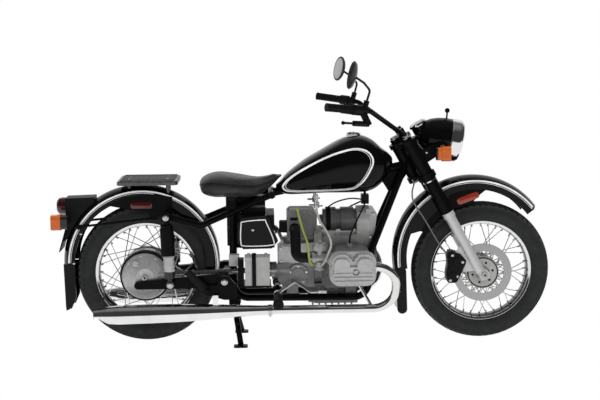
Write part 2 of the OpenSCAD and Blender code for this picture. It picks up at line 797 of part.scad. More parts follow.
module fender_brackets() {
  t = 3;
  y = fender_hw;
  color([0.03, 0.03, 0.035]) both_sides() {
    side_plate(-y - t, -y - fit) polygon([
      [rear_x + 128, tail_z + 217], [rear_x + 128, tail_z + 307], [rear_x + 60, tail_z + 323],
      [rear_x - 90, tail_z + 307], [rear_x - 170, tail_z + 273], [rear_x - 90, tail_z + 257],
      [rear_x + 40, tail_z + 239], [rear_x + 84, tail_z + 211]
    ]);
    bar([rear_x + 40, -y - 8, tail_z + 213], [rear_x - 300, -y - 8, tail_z + 177], 11);
    block([rear_x - 304, rear_x - 280], [-y - 12, -y - fit], [tail_z + 167, tail_z + 187]);
    block([rear_x + 26, rear_x + 62], [-y - 9, -y - fit], [tail_z + 205, tail_z + 247]);
  }
}

module luggage_rack() {
  l = rack_l;
  w = rack_w;
  x = rack_x;
  post_x = l / 2 - 50;
  color([0.35, 0.35, 0.36]) difference() {
    union() {
      translate([x, 0, rack_z - 6]) linear_extrude(6) rounded(l - 6, w - 6, 20);
      translate([x, 0, rack_z - 18]) linear_extrude(14) difference() {
        rounded(l, w, 24);
        rounded(l - 22, w - 22, 14);
      }
      for (i = [-1, 1], j = [-1, 1])
        translate([x + i * post_x, j * 40, rack_z - 128]) cylinder(d = 16, h = 126);
      for (i = [-1, 1])
        block([x + i * post_x - 12, x + i * post_x + 12], [-w / 2 + 8, w / 2 - 8], [rack_z - 12, rack_z - 5]);
    }
    fender_room(rear_fender_c, rear_fender_r);
    for (i = [-1, 1], j = [-1, 1])
      translate([x + i * 60, j * 80, rack_z - 30]) cylinder(d = 8.4, h = 40);
    for (y = [-48 : 24 : 48])
      translate([x, y, rack_z - 1.5]) linear_extrude(4) rounded(l - 60, 8, 3.9);
  }
}

module tail_lamp_body() {
  x0 = tail_x;
  z = tail_z;
  color([0.03, 0.03, 0.035]) difference() {
    union() {
      side_plate(-46, 46) polygon([
        [x0, z + 303], [x0 + 130, z + 307], [x0 + 130, z + 177], [x0 + 14, z + 165], [x0, z + 223]
      ]);
      cross_bar([x0 + 14, 0, z + 205], -84, 84, 15);
      plate_bracket();
    }
    fender_room(rear_fender_c, rear_fender_r);
  }
}

// Blank bracket that a number plate would go on
module plate_bracket() {
  x = tail_x - 2;
  z = tail_z;
  side_plate(-60, 60) polygon([[x + 2, z + 173], [x + 6, z + 173], [x - 28, z + 59], [x - 33, z + 59]]);
  both_sides() side_plate(-38, -34) polygon([
    [x + 2, z + 173], [x + 40, z + 177], [x + 40, z + 137], [x - 14, z + 103]
  ]);
}

module tail_lens() {
  color([0.35, 0.02, 0.02]) translate([tail_x - fit, 0, tail_z + 262]) rotate([0, -90, 0])
    rotate_extrude() polygon([[0, 0], [40, 0], [40, 20], [37, 34], [28, 42], [0, 45]]);
}

// A rear indicator's lamp, with the lens behind
module rear_indicators() {
  back = rear_x - tail_reach;
  color([0.85, 0.35, 0.05]) both_sides() {
    front_plate(back, back + 43) translate([-112, tail_z + 205]) rounded(56, 68, 16);
    front_plate(back + 43, back + 72) translate([-112, tail_z + 205]) rounded(48, 60, 14);
    cross_bar([tail_x + 14, 0, tail_z + 205], -90, -84 - fit, 15);
  }
}

/* Rear suspension and drive */

module swingarm() {
  color([0.03, 0.03, 0.035]) difference() {
    union() {
      cross_bar([pivot_x, 0, pivot_z], -162, 162, 36);
      side_plate(-arm_out, -arm_in) {
        strap([pivot_x, pivot_z], [shock_low[0], 306], 30, 23);
        strap([shock_low[0], 306], [rear_x - 29, 300], 23, 17);
      }
      side_plate(arm_in, arm_out) {
        strap([pivot_x, pivot_z], [shock_low[0], 306], 30, 23);
        strap([shock_low[0], 306], [rear_x, rear_z], 23, 26);
      }
      both_sides() cross_bar(shock_low, -190, -arm_out + 1, 16);
    }
    cross_bar([pivot_x, 0, pivot_z], -163, 163, 20 + 2 * fit);
    cross_bar([rear_x, 0, rear_z], 100, 160, axle_d + 2 * fit);
  }
}

// A shock's pieces, in its own frame with the lower eye at the origin
module on_shock() {
  v = shock_top - shock_low;
  both_sides() translate(side_y(shock_low, -shock_y)) rotate([0, atan2(v[0], v[2]), 0]) children();
}

module shock_bodies() {
  long = norm(shock_top - shock_low);
  color([0.7, 0.7, 0.71]) on_shock() difference() {
    union() {
      cross_bar([0, 0, 0], -15, 15, 38);
      cylinder(d = 26, h = 40);
      translate([0, 0, 30]) cylinder(d = 46, h = 104 - fit);
      for (i = [0 : 3])
        translate([0, 0, 60 + 20 * i]) cylinder(d = 50, h = 8);
    }
    cross_bar([0, 0, 0], -20, 20, 16 + 2 * fit);
  }
}

module shock_covers() {
  long = norm(shock_top - shock_low);
  color([0.03, 0.03, 0.035]) on_shock() difference() {
    union() {
      translate([0, 0, 134]) cylinder(d = 62, h = 122);
      translate([0, 0, 250]) cylinder(d = 54, h = 22);
      translate([0, 0, 260]) cylinder(d = 30, h = long - 265);
      cross_bar([0, 0, long], -16, 16, 38);
    }
    cross_bar([0, 0, long], -20, 20, 16 + 2 * fit);
  }
}

module final_drive() {
  color([0.52, 0.53, 0.54]) difference() {
    union() {
      about_y([rear_x, 0, rear_z]) polygon([
        [0, -arm_in], [40, -arm_in], [84, -116], [100, -110], [106, -104], [106, -86], [0, -86]
      ]);
      translate([rear_x + 60, -105, rear_z + 10]) rotate([0, 90, 0]) cylinder(d = 40, h = 70);
      about_y([rear_x - 29, 0, 300]) translate([0, -arm_in]) square([20, 30]);
      for (a = [20 : 40 : 340])
        translate([rear_x, -113, rear_z]) rotate([0, a, 0]) translate([94, 0, 0])
          rotate([-90, 0, 0]) cylinder(d = 11, h = 20);
      translate([rear_x - 40, -112, rear_z + 62]) rotate([90, 0, 0]) cylinder(d = 26, h = 14);
    }
    cross_bar([rear_x, 0, rear_z], -160, -60, axle_d + 2 * fit);
  }
}

module drive_shaft() {
  x0 = gearbox_rear - 6;
  nose = [rear_x + 130 + fit, -105, rear_z + 10];
  color([0.65, 0.65, 0.66]) union() {
    about_x([x0 - 32, shaft_y, 356]) square([34, 32 - fit]);
    bar([x0 - 20, shaft_y, 356], nose + [30, 0, 0], 26);
    bar(nose, nose + [44, 0, 0], 37);
  }
}

module rear_axle() {
  c = [rear_x, 0, rear_z];
  color([0.66, 0.66, 0.67]) difference() {
    union() {
      cross_bar(c, -138, 162, axle_d);
      cross_bar(c, -138, -arm_in - fit, 24);
      cross_bar(c, 66, arm_in - fit, 36);
      cross_bar(c, arm_out + fit, 163, 28);
    }
    cross_bar(c, -140, 170, 10);
  }
}

module foot_pegs() {
  peg = [eng_x - 308, 0, 236];
  pillion = [stand_x - 115, -192, 281];
  fold = unit([69, 0, -72]);
  color([0.05, 0.05, 0.05]) both_sides() {
    translate([peg[0], -120 - fit, peg[2]]) rotate([90, 0, 0]) rotate_extrude() polygon([
      [0, 0], [15, 0], [15, 24], [21, 28], [21, 150], [24, 156], [24, 166], [18, 172], [0, 172]
    ]);
    bar(pillion - fold * (12 + fit), pillion - fold * 126, 33);
  }
}

module pedals() {
  peg = [eng_x - 308, 0, 236];
  color([0.68, 0.68, 0.69]) difference() {
    union() {
      cross_bar(peg, -106, -86, 38);
      pipe([peg + [0, -98, 8], peg + [80, -130, 70], peg + [150, -176, 30], peg + [200, -182, 34]], 14, 22);
      block([peg[0] + 180, peg[0] + 216], [-222, -164], [peg[2] + 34, peg[2] + 46]);
      bar([peg[0] + 6, 98.3, 300], [peg[0] + 6, 132, 300], 16);
      pipe([peg + [-60, 126, 70], peg + [6, 126, 62], peg + [150, 140, 44]], 14, 30);
      cross_bar(peg + [150, 0, 44], 136, 196, 20);
      cross_bar(peg + [-60, 0, 70], 122, 176, 18);
    }
    cross_bar(peg, -130, -80, 22 + 2 * fit);
  }
}

module kick_lever() {
  x = gearbox_rear + 40;
  color([0.68, 0.68, 0.69]) {
    cross_bar([x, 0, 410], 98 + fit, 146, 26);
    pipe([[x, 140, 410], [x - 40, 146, 500], [x - 150, 160, 590]], 17, 30);
    cross_bar([x - 148, 0, 588], 150, 226, 21);
  }
}

/* Fork and steering */

module fork_yokes() {
  color([0.04, 0.04, 0.045]) in_steer() difference() {
    union() {
      translate([0, 0, low_yoke]) cylinder(d = stem_d, h = top_yoke - low_yoke + top_yoke_h);
      for (z = [[low_yoke, low_yoke_h], [top_yoke, top_yoke_h]])
        translate([0, 0, z[0]]) linear_extrude(z[1]) {
          circle(38);
          translate([0, -leg_y]) square([fork_offset + 14, 2 * leg_y]);
          for (j = [-1, 1])
            translate([fork_offset, j * leg_y]) circle(shroud_d / 2 + 8);
        }
      translate([0, 0, top_yoke]) cylinder(d = 44, h = top_yoke_h + 18);
      for (j = [-1, 1]) {
        translate([fork_offset, j * leg_y, top_yoke]) cylinder(d = 40, h = top_yoke_h + 10);
        translate([22, j * 46 - 15, top_yoke + 4]) cube([34, 30, top_yoke_h + 48]);
      }
    }
    for (j = [-1, 1])
      translate([fork_offset, j * leg_y, low_yoke - 1]) cylinder(d = shroud_d + 2 * fit, h = low_yoke_h + 2);
    translate([39, 0, top_yoke + 50]) rotate([90, 0, 0]) cylinder(d = 22 + 2 * fit, h = 200, center = true);
  }
}

module fork_uppers() {
  ear_y = lamp_d / 2 - 3;
  color([0.03, 0.03, 0.035]) in_steer() both_sides() {
    translate([fork_offset, -leg_y, slider_top]) cylinder(d = shroud_d - 2, h = low_yoke - slider_top);
    translate([fork_offset, -leg_y, low_yoke - 12]) cylinder(d = shroud_d, h = top_yoke - low_yoke + 12 - fit);
    side_plate(-ear_y - 5, -ear_y) strap([fork_offset + 10, low_yoke + 97], [170, low_yoke + 95], 34, 24);
    cross_bar([150, 0, low_yoke + 75], -136, -ear_y - 2, 14);
  }
}

module fork_sliders() {
  axle = [fork_offset + axle_lead, 0, 0];
  color([0.72, 0.72, 0.73]) in_steer() {
    difference() {
      union() {
        slider(axle);
        caliper_lug(axle);
      }
      cross_bar(axle, -150, -60, axle_d + 2 * fit);
    }
    mirror([0, 1, 0]) difference() {
      slider(axle);
      cross_bar(axle, -150, -60, axle_d + 2 * fit);
    }
  }
}

module slider(axle) {
  translate([fork_offset, -leg_y, 20]) cylinder(d = slider_d, h = slider_top - 20 - fit);
  translate([fork_offset, -leg_y, slider_top - 28]) cylinder(d = slider_d + 8, h = 28 - fit);
  translate([fork_offset + 2, -leg_y, -22]) cylinder(d = slider_d - 7, h = 50);
  cross_bar(axle, -leg_y - 22, -leg_y + 20, 46);
}

module caliper_lug(axle) {
  side_plate(-leg_y - 4, -leg_y + 5) polygon([
    [fork_offset - 10, 30], [fork_offset - 10, 172], [fork_offset - 80, 146], [fork_offset - 92, 84],
    [fork_offset - 60, 52]
  ]);
}

module front_axle() {
  color([0.66, 0.66, 0.67]) translate([front_x, 0, tyre_r]) difference() {
    union() {
      cross_bar([0, 0, 0], -leg_y - 32, leg_y + 32, axle_d);
      cross_bar([0, 0, 0], -leg_y - 33, -leg_y - 22 - fit, 30);
      cross_bar([0, 0, 0], leg_y + 22 + fit, leg_y + 33, 30);
    }
    cross_bar([0, 0, 0], -leg_y - 40, leg_y + 40, 10);
  }
}

module front_fender() {
  c = front_fender_c;
  r = front_fender_r;
  end = c + r * [cos(190), 0, sin(190)];
  color([0.02, 0.02, 0.025]) {
    fender_shell(c, r, 38, 190);
    in_steer() both_sides() difference() {
      side_plate(-leg_y + shroud_d / 2 + 1 - fit, -fender_hw + 0.5)
        translate([fork_offset, slider_top + 83]) rounded(46, 60, 10);
      translate([fork_offset, -leg_y, slider_top + 43]) cylinder(d = shroud_d - 2 + 2 * fit, h = 80);
    }
    side_plate(-fender_hw + 14, fender_hw - 14)
      strap([end[0] + 8, end[2] - 10], [end[0] + 20, end[2] - 186], 4, 4);
    both_sides() side_plate(-fender_hw + 14, -fender_hw + 18)
      strap([end[0] + 30, end[2] - 8], [end[0] + 38, end[2] - 184], 25, 23);
    both_sides() side_plate(-fender_hw + 0.4, -fender_hw + fender_t - 0.4) polygon(concat(
      [for (a = [112 : 6 : 160]) [c[0] + (r - 57) * cos(a), c[2] + (r - 57) * sin(a)]],
      [for (a = [154 : -6 : 118]) [c[0] + (r - 96) * cos(a), c[2] + (r - 96) * sin(a)]]
    ));
  }
}

// The headlamp's own frame: its axis along local X, aimed a little down
module in_lamp() {
  translate(on_steer(234, 0, low_yoke + 77)) rotate([0, 12, 0]) children();
}

module headlamp_shell() {
  r = lamp_d / 2 - 4;
  color([0.03, 0.03, 0.035]) difference() {
    union() {
      in_lamp() rotate([0, 90, 0]) rotate_extrude() polygon([
        [0, -176], [26, -174], [46, -164], [64, -146], [78, -122], [88, -92], [r, -60], [r, -28 - fit],
        [r - 5, -28 - fit], [r - 5, -58], [78, -92], [52, -110], [0, -116]
      ]);
      speedo_frame() translate([0, 0, -44]) cylinder(d = 72, h = 44);
      in_lamp() {
        bar([-52, 0, 88], [-58, 0, 128], 8);
        translate([-58, 0, 128]) sphere(d = 23);
      }
    }
    speedo_frame() cylinder(d = 86, h = 60);
  }
}

// The speedometer's own frame: its face looks along local Z
module speedo_frame() {
  translate(on_steer(126, 0, top_yoke + 39)) rotate([0, -30, 0]) children();
}

// The bright rim with the reflector and bulb that it carries
module headlamp_rim() {
  r = lamp_d / 2;
  color([0.85, 0.85, 0.86]) in_lamp() rotate([0, 90, 0]) rotate_extrude() {
    polygon([
      [r - 9, -28], [r - 2, -28], [r, -22], [r, 8], [r - 1, 17], [r - 5, 25], [r - 12, 30], [r - 16, 28],
      [r - 12, 10], [r - 12, 0]
    ]);
    polygon([
      [0, -74], [20, -72], [44, -56], [66, -34], [r - 16, 2], [r - 11, 2], [r - 11, 5], [r - 18, 5],
      [62, -32], [42, -51], [18, -67], [9, -68], [9, -40], [5, -34], [0, -32]
    ]);
  }
}

module headlamp_glass() {
  r = lamp_d / 2 - 12 - fit;
  color([0.85, 0.88, 0.9]) in_lamp() rotate([0, 90, 0]) rotate_extrude() intersection() {
    difference() {
      translate([0, -132]) circle(176, $fn = 120);
      translate([0, -136]) circle(176, $fn = 120);
    }
    square([r - 4, 60]);
  }
}

module speedometer() {
  color([0.75, 0.75, 0.76]) speedo_frame() rotate_extrude() polygon([
    [0, fit], [41, fit], [42, 4], [41, 11], [37, 14], [35, 10], [0, 10]
  ]);
}

module front_indicators() {
  color([0.85, 0.35, 0.05]) in_steer() both_sides() {
    cross_bar([150, 0, low_yoke + 75], -148, -136 - fit, 14);
    translate([150, -164, low_yoke + 75]) rotate([0, rake, 0]) {
      front_plate(-8, 32) rounded(44, 66, 14);
      front_plate(-32, -8) rounded(40, 56, 12);
    }
  }
}

function bar_clamp() = on_steer(39, 0, top_yoke + 50);
function bar_rise() = bar_clamp() + [-167, 0, 122];
function bar_end() = bar_clamp() + [-362, 0, 147];
function bar_knee() = side_y(bar_rise(), -bar_w / 2 + 100);
function grip_dir() = unit(side_y(bar_end(), -bar_w / 2 + 12) - bar_knee());
function grip_at(d) = side_y(bar_end(), -bar_w / 2 + 12) - grip_dir() * d;

module handlebar() {
  color([0.06, 0.06, 0.065]) {
    pipe([
      grip_at(126), bar_knee(), side_y(bar_clamp(), -84), side_y(bar_clamp(), 84),
      [bar_knee()[0], -bar_knee()[1], bar_knee()[2]], [grip_at(126)[0], -grip_at(126)[1], grip_at(126)[2]]
    ], 22, 46);
  }
}

module grips() {
  color([0.05, 0.05, 0.05]) both_sides() {
    bar(grip_at(126 - fit), grip_at(6), 33);
    bar(grip_at(8), grip_at(0), 36);
    bar(grip_at(126 - fit), grip_at(120), 40);
  }
}

module bar_controls() {
  tip = grip_at(8) + [64, 6, -66];
  root = grip_at(176) + [24, -6, -58];
  down = unit(root - grip_at(172));
  color([0.07, 0.07, 0.075]) both_sides() difference() {
    union() {
      bar(grip_at(166), grip_at(127), 46);
      bar(grip_at(196), grip_at(163), 36);
      bar(grip_at(172) + down * 13, root + down * 6, 30);
      bar(root, tip, 10);
      bar(root, lerp(root, tip, 0.6), 24);
      translate(tip) sphere(d = 17);
      bar(grip_at(184) + [3, 1, 12], grip_at(184) + [12, 4, 42], 24);
    }
    bar(grip_at(199), grip_at(100), 22 + 2 * fit);
  }
}

module mirrors() {
  lean = unit([9, 3, 30]);
  post = grip_at(184) + [12, 4, 42] + lean * 1.8;
  c = [post[0] - 69, -bar_w / 2 + 20, post[2] + 110];
  color([0.3, 0.3, 0.31]) both_sides() {
    pipe([post, post + [12, -8, 42], c + [52, 32, -34], c + [10, 3, -6]], 10, 22);
    translate(c) rotate([0, 0, -18]) rotate([0, -78, 0]) rotate_extrude() polygon([
      [0, -18], [24, -16], [mirror_d / 2 - 10, -9], [mirror_d / 2 - 1, -1], [mirror_d / 2, 3],
      [mirror_d / 2 - 2, 6], [0, 6]
    ]);
  }
}

// Brake hose from a clip on the lower yoke, behind the right leg, to the caliper
module brake_hose() {
  color([0.06, 0.06, 0.065]) {
    in_steer() bar([-2 * fit, -99, low_yoke + 13], [-24, -98, low_yoke + 13], 9);
    hose([
      on_steer(-24, -98, low_yoke + 30), on_steer(-26, -96, low_yoke + 8), on_steer(-50, -90, low_yoke - 22),
      on_steer(-66, -88, low_yoke - 70), on_steer(-60, -87, low_yoke - 170), on_steer(-58, -86, low_yoke - 270),
      on_steer(-52, -84, low_yoke - 330), on_steer(-44, -80, low_yoke - 362)
    ], 7, 5, [0, 1, 0]);
  }
}

module brake_caliper() {
  axle = [fork_offset + axle_lead, 0, 0];
  r = disc_d / 2;
  y1 = -leg_y + 5 + fit;
  color([0.05, 0.05, 0.055]) in_steer() difference() {
    union() {
      side_plate(y1, y1 + 47) translate([axle[0] - r + 22, 103]) rotate(-50) rounded(136, 62, 16);
      side_plate(y1 - 16, y1 + 4) translate([axle[0] - r - 16, 92]) rotate(-50) rounded(80, 22, 10);
    }
    cross_bar(axle, disc_y() - 7.5, disc_y() + 7.5, disc_d + 12);
  }
}

function disc_y() = -leg_y + 32;

/* Wheels */

module tyre(c) {
  w = tyre_w / 2;
  about_y(c) difference() {
    union() {
      translate([tyre_r - w - 3, 0]) circle(w);
      intersection() {
        translate([tyre_r - 95, 0]) circle(95);
        translate([tyre_r - 24, -w + 6]) square([30, 2 * w - 12]);
      }
    }
    translate([0, -w]) square([rim_d / 2 - 11, 2 * w]);
    translate([0, -rim_w / 2 - 1]) square([rim_d / 2 + 0.4, 6.4]);
    translate([0, rim_w / 2 - 5.4]) square([rim_d / 2 + 0.4, 6.4]);
  }
}

// A wire wheel about c: rim, hub drum radii and flange planes, spokes laced both ways
module wire_wheel(c, hub_r, flange) {
  r = rim_d / 2;
  n = spoke_count / 4;
  about_y(c) {
    polygon([
      [r - 22, -14], [r - 15, -rim_w / 2 + 4], [r - 6, -rim_w / 2], [r, -rim_w / 2], [r, -rim_w / 2 + 5],
      [r - 11.4, -rim_w / 2 + 5], [r - 18, -12], [r - 18, 12], [r - 11.4, rim_w / 2 - 5],
      [r, rim_w / 2 - 5], [r, rim_w / 2], [r - 6, rim_w / 2], [r - 15, rim_w / 2 - 4], [r - 22, 14]
    ]);
  }
  for (i = [0 : n - 1], k = [0 : 3])
    wire(c, 360 / n * i + 90 / n * k, k, hub_r - 6, flange, r - 20);
}

// One spoke: side and lean follow from its place k in the lacing
module wire(c, a, k, r0, y, r1) {
  side = k % 2 == 0 ? 1 : -1;
  lean = k < 2 ? 1 : -1;
  b = a - lean * 62;
  inner = side > 0 ? y[1] : y[0];
  bar(
    c + [r0 * cos(b), inner + lean * 3.5, r0 * sin(b)],
    c + [r1 * cos(a), side * 7, r1 * sin(a)],
    spoke_d
  );
}

module front_tyre() {
  color([0.06, 0.06, 0.06]) tyre([front_x, 0, tyre_r]);
}

module rear_tyre() {
  color([0.06, 0.06, 0.06]) tyre([rear_x, 0, rear_z]);
}

module front_wheel() {
  c = [front_x, 0, tyre_r];
  color([0.75, 0.75, 0.76]) union() {
    wire_wheel(c, 72, [-33, 33]);
    about_y(c) polygon([
      [axle_d / 2 + fit, -66], [30, -66], [34, -44], [72, -40], [72, -26], [40, -20], [40, 20],
      [72, 26], [72, 40], [34, 44], [26, 76], [axle_d / 2 + fit, 76]
    ]);
  }
}

module front_disc() {
  c = [front_x, 0, tyre_r];
  r = disc_d / 2;
  color([0.7, 0.7, 0.71]) difference() {
    about_y(c) {
      translate([r - 46, disc_y() - 2.5]) square([46, 5]);
      translate([31, disc_y() - 4]) square([r - 70, 8]);
    }
    for (i = [0 : 17])
      translate(c) rotate([0, 20 * i, 0]) translate([r - 12 - 10 * (i % 3), disc_y() - 10, 0])
        rotate([-90, 0, 0]) cylinder(d = 7, h = 20);
    for (i = [0 : 11])
      translate(c) rotate([0, 30 * i + 15, 0]) translate([r - 54, disc_y() - 10, 0])
        rotate([-90, 0, 0]) cylinder(d = 15, h = 20);
  }
}

module rear_wheel() {
  c = [rear_x, 0, rear_z];
  color([0.5, 0.5, 0.51]) union() {
    wire_wheel(c, 116, [-44, 30]);
    about_y(c) polygon([
      [axle_d / 2 + fit, -80], [118, -80], [118, -36], [50, -30], [42, 16], [114, 22], [114, 38],
      [40, 44], [30, 64], [axle_d / 2 + fit, 64]
    ]);
  }
}

/* Stand */

module centre_stand() {
  foot = [stand_x + 30, -124, 8];
  color([0.04, 0.04, 0.045]) difference() {
    union() {
      cross_bar([stand_x, 0, stand_z], -58, 58, 30);
      both_sides() {
        pipe([[stand_x, -38, stand_z], [stand_x + 8, -41, stand_z - 46], foot + [0, 0, 6]], 26, 20);
        translate([foot[0], foot[1], 0]) linear_extrude(9) rounded(64, 34, 12);
      }
      cross_bar([stand_x + 14, 0, 96], -86, 86, 18);
    }
    cross_bar([stand_x, 0, stand_z], -60, 60, 14 + 2 * fit);
  }
}

frame();
engine_block();
alternator();
cylinder_right();
cylinder_left();
head_right();
head_left();
rocker_covers();
carburettors();
gearbox();
air_box();
tool_box();
side_covers();
battery();
exhaust_headers();
silencers();
fuel_tank();
filler_cap();
fuel_tap();
saddle();
saddle_mounts();
rear_fender();
fender_brackets();
luggage_rack();
tail_lamp_body();
tail_lens();
rear_indicators();
swingarm();
shock_bodies();
shock_covers();
final_drive();
drive_shaft();
rear_axle();
foot_pegs();
pedals();
kick_lever();
fork_yokes();
fork_uppers();
fork_sliders();
front_axle();
front_fender();
headlamp_shell();
headlamp_rim();
headlamp_glass();
speedometer();
front_indicators();
handlebar();
grips();
bar_controls();
mirrors();
brake_caliper();
front_tyre();
front_wheel();
front_disc();
rubber_hoses();
fuel_hoses();
brake_hose();
rear_tyre();
rear_wheel();
centre_stand();
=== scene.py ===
"""Dresses the solids of a standard motorcycle: tank, saddle, tyres, stripes, trim, finishes and stage."""

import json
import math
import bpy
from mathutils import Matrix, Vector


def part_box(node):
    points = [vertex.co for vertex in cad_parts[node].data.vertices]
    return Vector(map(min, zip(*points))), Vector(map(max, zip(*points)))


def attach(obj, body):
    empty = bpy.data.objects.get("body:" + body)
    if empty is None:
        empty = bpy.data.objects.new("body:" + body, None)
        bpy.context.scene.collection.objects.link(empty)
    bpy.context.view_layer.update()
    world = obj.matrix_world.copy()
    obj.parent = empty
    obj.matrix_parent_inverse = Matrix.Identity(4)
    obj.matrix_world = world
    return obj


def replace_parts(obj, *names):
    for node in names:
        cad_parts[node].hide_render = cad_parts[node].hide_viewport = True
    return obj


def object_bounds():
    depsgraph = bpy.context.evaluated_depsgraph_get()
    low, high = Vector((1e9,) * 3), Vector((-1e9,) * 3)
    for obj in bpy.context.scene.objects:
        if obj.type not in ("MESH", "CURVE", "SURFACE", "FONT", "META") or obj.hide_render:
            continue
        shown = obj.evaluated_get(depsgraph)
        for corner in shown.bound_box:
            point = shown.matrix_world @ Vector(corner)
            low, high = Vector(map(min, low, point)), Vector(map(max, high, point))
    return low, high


bl_info = {
    "name": "Standard motorcycle",
    "version": (1, 0, 0),
    "blender": (4, 5, 0),
    "location": "View3D > Sidebar > Motorcycle",
    "description": "Dresses the motorcycle's frame of solids, and sets its stage",
    "category": "Object",
}

import bmesh
import bpy
from bpy.props import FloatProperty, FloatVectorProperty, IntProperty, PointerProperty
from mathutils import Matrix, Vector
from mathutils.bvhtree import BVHTree

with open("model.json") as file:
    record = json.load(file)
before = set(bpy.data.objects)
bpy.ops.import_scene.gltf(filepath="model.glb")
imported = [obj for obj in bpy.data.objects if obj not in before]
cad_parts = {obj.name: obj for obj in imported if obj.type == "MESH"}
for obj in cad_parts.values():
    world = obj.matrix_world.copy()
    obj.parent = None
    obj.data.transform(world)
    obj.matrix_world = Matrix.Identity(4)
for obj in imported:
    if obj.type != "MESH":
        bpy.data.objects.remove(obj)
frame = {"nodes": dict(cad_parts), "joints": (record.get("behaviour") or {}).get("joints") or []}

CAD_BOX = [list(corner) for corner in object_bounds()]
JOINT = {j["name"]: j for j in frame["joints"]}
FRONT_AXLE = Vector(JOINT["front_wheel_spin"]["pos_m"])
REAR_AXLE = Vector(JOINT["rear_wheel_spin"]["pos_m"])
STEER_FOOT = Vector(JOINT["steering_turn"]["pos_m"])
STEER_UP = Vector(JOINT["steering_turn"]["axis"]).normalized()
STEER_AHEAD = Vector((STEER_UP.z, 0.0, -STEER_UP.x))
REAR_ARCH = REAR_AXLE + Vector((-0.022, 0.0, 0.050))
FRONT_ARCH = FRONT_AXLE + Vector((-0.041, 0.0, 0.076))
STAND_X = JOINT["stand_fold"]["pos_m"][0]
ENGINE_X = REAR_AXLE.x + 0.908
ALONG, ACROSS = Vector((1, 0, 0)), Vector((0, 1, 0))
SIDES = (-1, 1)
MILLI = 1000.0
FINISH = {}
TREES = {}

# Places across the machine, in millimetres
LEG_Y, EXHAUST_Y, DISC_Y, HUB_FACE_Y, CALIPER_FACE_Y = 104, 250, -72, -76.2, -125.4

# Radii of the tyres' crown and walls, and of their bead, in metres
TYRE_R, CROWN_R, WALL_R, BEAD_R = 0.321, 0.095, 0.051, 0.2286

# Rounding of the tank's and the saddle's sections, and the saddle's seam in radians up its side
TANK_ROUND, SADDLE_ROUND, SADDLE_FOOT_ROUND, SEAM_ANGLE = 2.7, 2.6, 4.0, 0.42

# Inner and outer face of the lining, in metres from the middle
FENDER_FACES, COVER_FACES = (0.0698, 0.0705), (0.1298, 0.1304)

# The photograph's camera: focal length and width in pixels, turn, rise and roll in degrees, target and distance
FOCAL_PIXELS, PHOTO_PIXELS, SENSOR_WIDTH = 1085.8, 600, 36.0
CAMERA_ANGLES, CAMERA_TARGET, CAMERA_DISTANCE = (-1.929, 8.965, -0.453), Vector((-0.0198, 0.0, 0.658)), 5.0


# Sizes and colours

class MotorcycleSizes(bpy.types.PropertyGroup):
    """Sizes of what is added to the solids"""
    stripe: FloatProperty(name="Stripe", description="Width of the broad stripe", default=0.0075, unit="LENGTH")
    line: FloatProperty(
        name="Line", description="Width of the fine line beside the stripe", default=0.0018, unit="LENGTH",
    )
    tread_depth: FloatProperty(
        name="Tread depth", description="Depth of the tyres' grooves", default=0.0055, unit="LENGTH",
    )
    tread_count: IntProperty(
        name="Tread blocks", description="Rows of blocks around a tyre", default=64, min=24, max=120,
    )
    saddle_voxel: FloatProperty(
        name="Saddle cell", description="Cell of the saddle's cloth", default=0.005, unit="LENGTH",
    )
    saddle_swell: FloatProperty(
        name="Saddle swell", description="Most that the padding swells", default=0.007, unit="LENGTH",
    )
    stitch: FloatProperty(name="Stitch", description="Distance between stitches", default=0.0075, unit="LENGTH")
    bolt: FloatProperty(name="Bolt head", description="Radius of a common bolt's head", default=0.0065, unit="LENGTH")


class MotorcycleColours(bpy.types.PropertyGroup):
    """Colours of the finishes"""
    paint: FloatVectorProperty(
        name="Paint", description="Gloss enamel of tank and fenders", subtype="COLOR", default=(0.0028, 0.0028, 0.0031),
    )
    enamel: FloatVectorProperty(
        name="Frame enamel", description="Enamel of frame and fork", subtype="COLOR", default=(0.0032, 0.0032, 0.0034),
    )
    stripe: FloatVectorProperty(
        name="Stripe", description="Lining on tank and fenders", subtype="COLOR", default=(0.82, 0.82, 0.8),
    )
    leather: FloatVectorProperty(
        name="Leather", description="Saddle cover", subtype="COLOR", default=(0.009, 0.009, 0.0095),
    )
    rubber: FloatVectorProperty(name="Tyre", description="Tyre rubber", subtype="COLOR", default=(0.024, 0.025, 0.026))
    amber: FloatVectorProperty(
        name="Amber", description="Indicator lenses", subtype="COLOR", default=(0.62, 0.12, 0.008),
    )
    red: FloatVectorProperty(name="Red", description="Tail lens", subtype="COLOR", default=(0.035, 0.002, 0.004))


# Places

def mm(*v):
    return Vector(v) / MILLI


def on_steer(x, y, s):
    """A point from the steering axis' own frame, in millimetres ahead, left and up along it."""
    return STEER_FOOT + (STEER_AHEAD * x + STEER_UP * s + Vector((0, y, 0))) / 1000.0


def smooth(points, steps, closed=False):
    """A curve through the points, the same as the solids' own."""
    n = len(points)
    out = []
    for i in range(n if closed else n - 1):
        near = [points[(i + k) % n if closed else min(max(i + k, 0), n - 1)] for k in (-1, 0, 1, 2)]
        for j in range(steps):
            t = j / steps
            out.append([
                b + 0.5 * t * (c - a + t * (2 * a - 5 * b + 4 * c - d + t * (3 * b - a - 3 * c + d)))
                for a, b, c, d in zip(*near)
            ])
    return out if closed else out + [list(points[-1])]


def bulge(c, k):
    return math.copysign(abs(c) ** (2 / k), c)


def section_ring(s, n, k, grow=0.0, low=None):
    """A rounded section at a station of x, bottom, top and half width, squarer below where low is given."""
    mid, half = (s[1] + s[2]) / 2, (s[2] - s[1]) / 2 + grow
    ring = []
    for i in range(n):
        a = 2 * math.pi * (i + 0.5) / n
        e = k if math.sin(a) > 0 or low is None else low
        ring.append(Vector((s[0], (s[3] + grow) * bulge(math.cos(a), e), mid + half * bulge(math.sin(a), e))))
    return ring


# Meshes

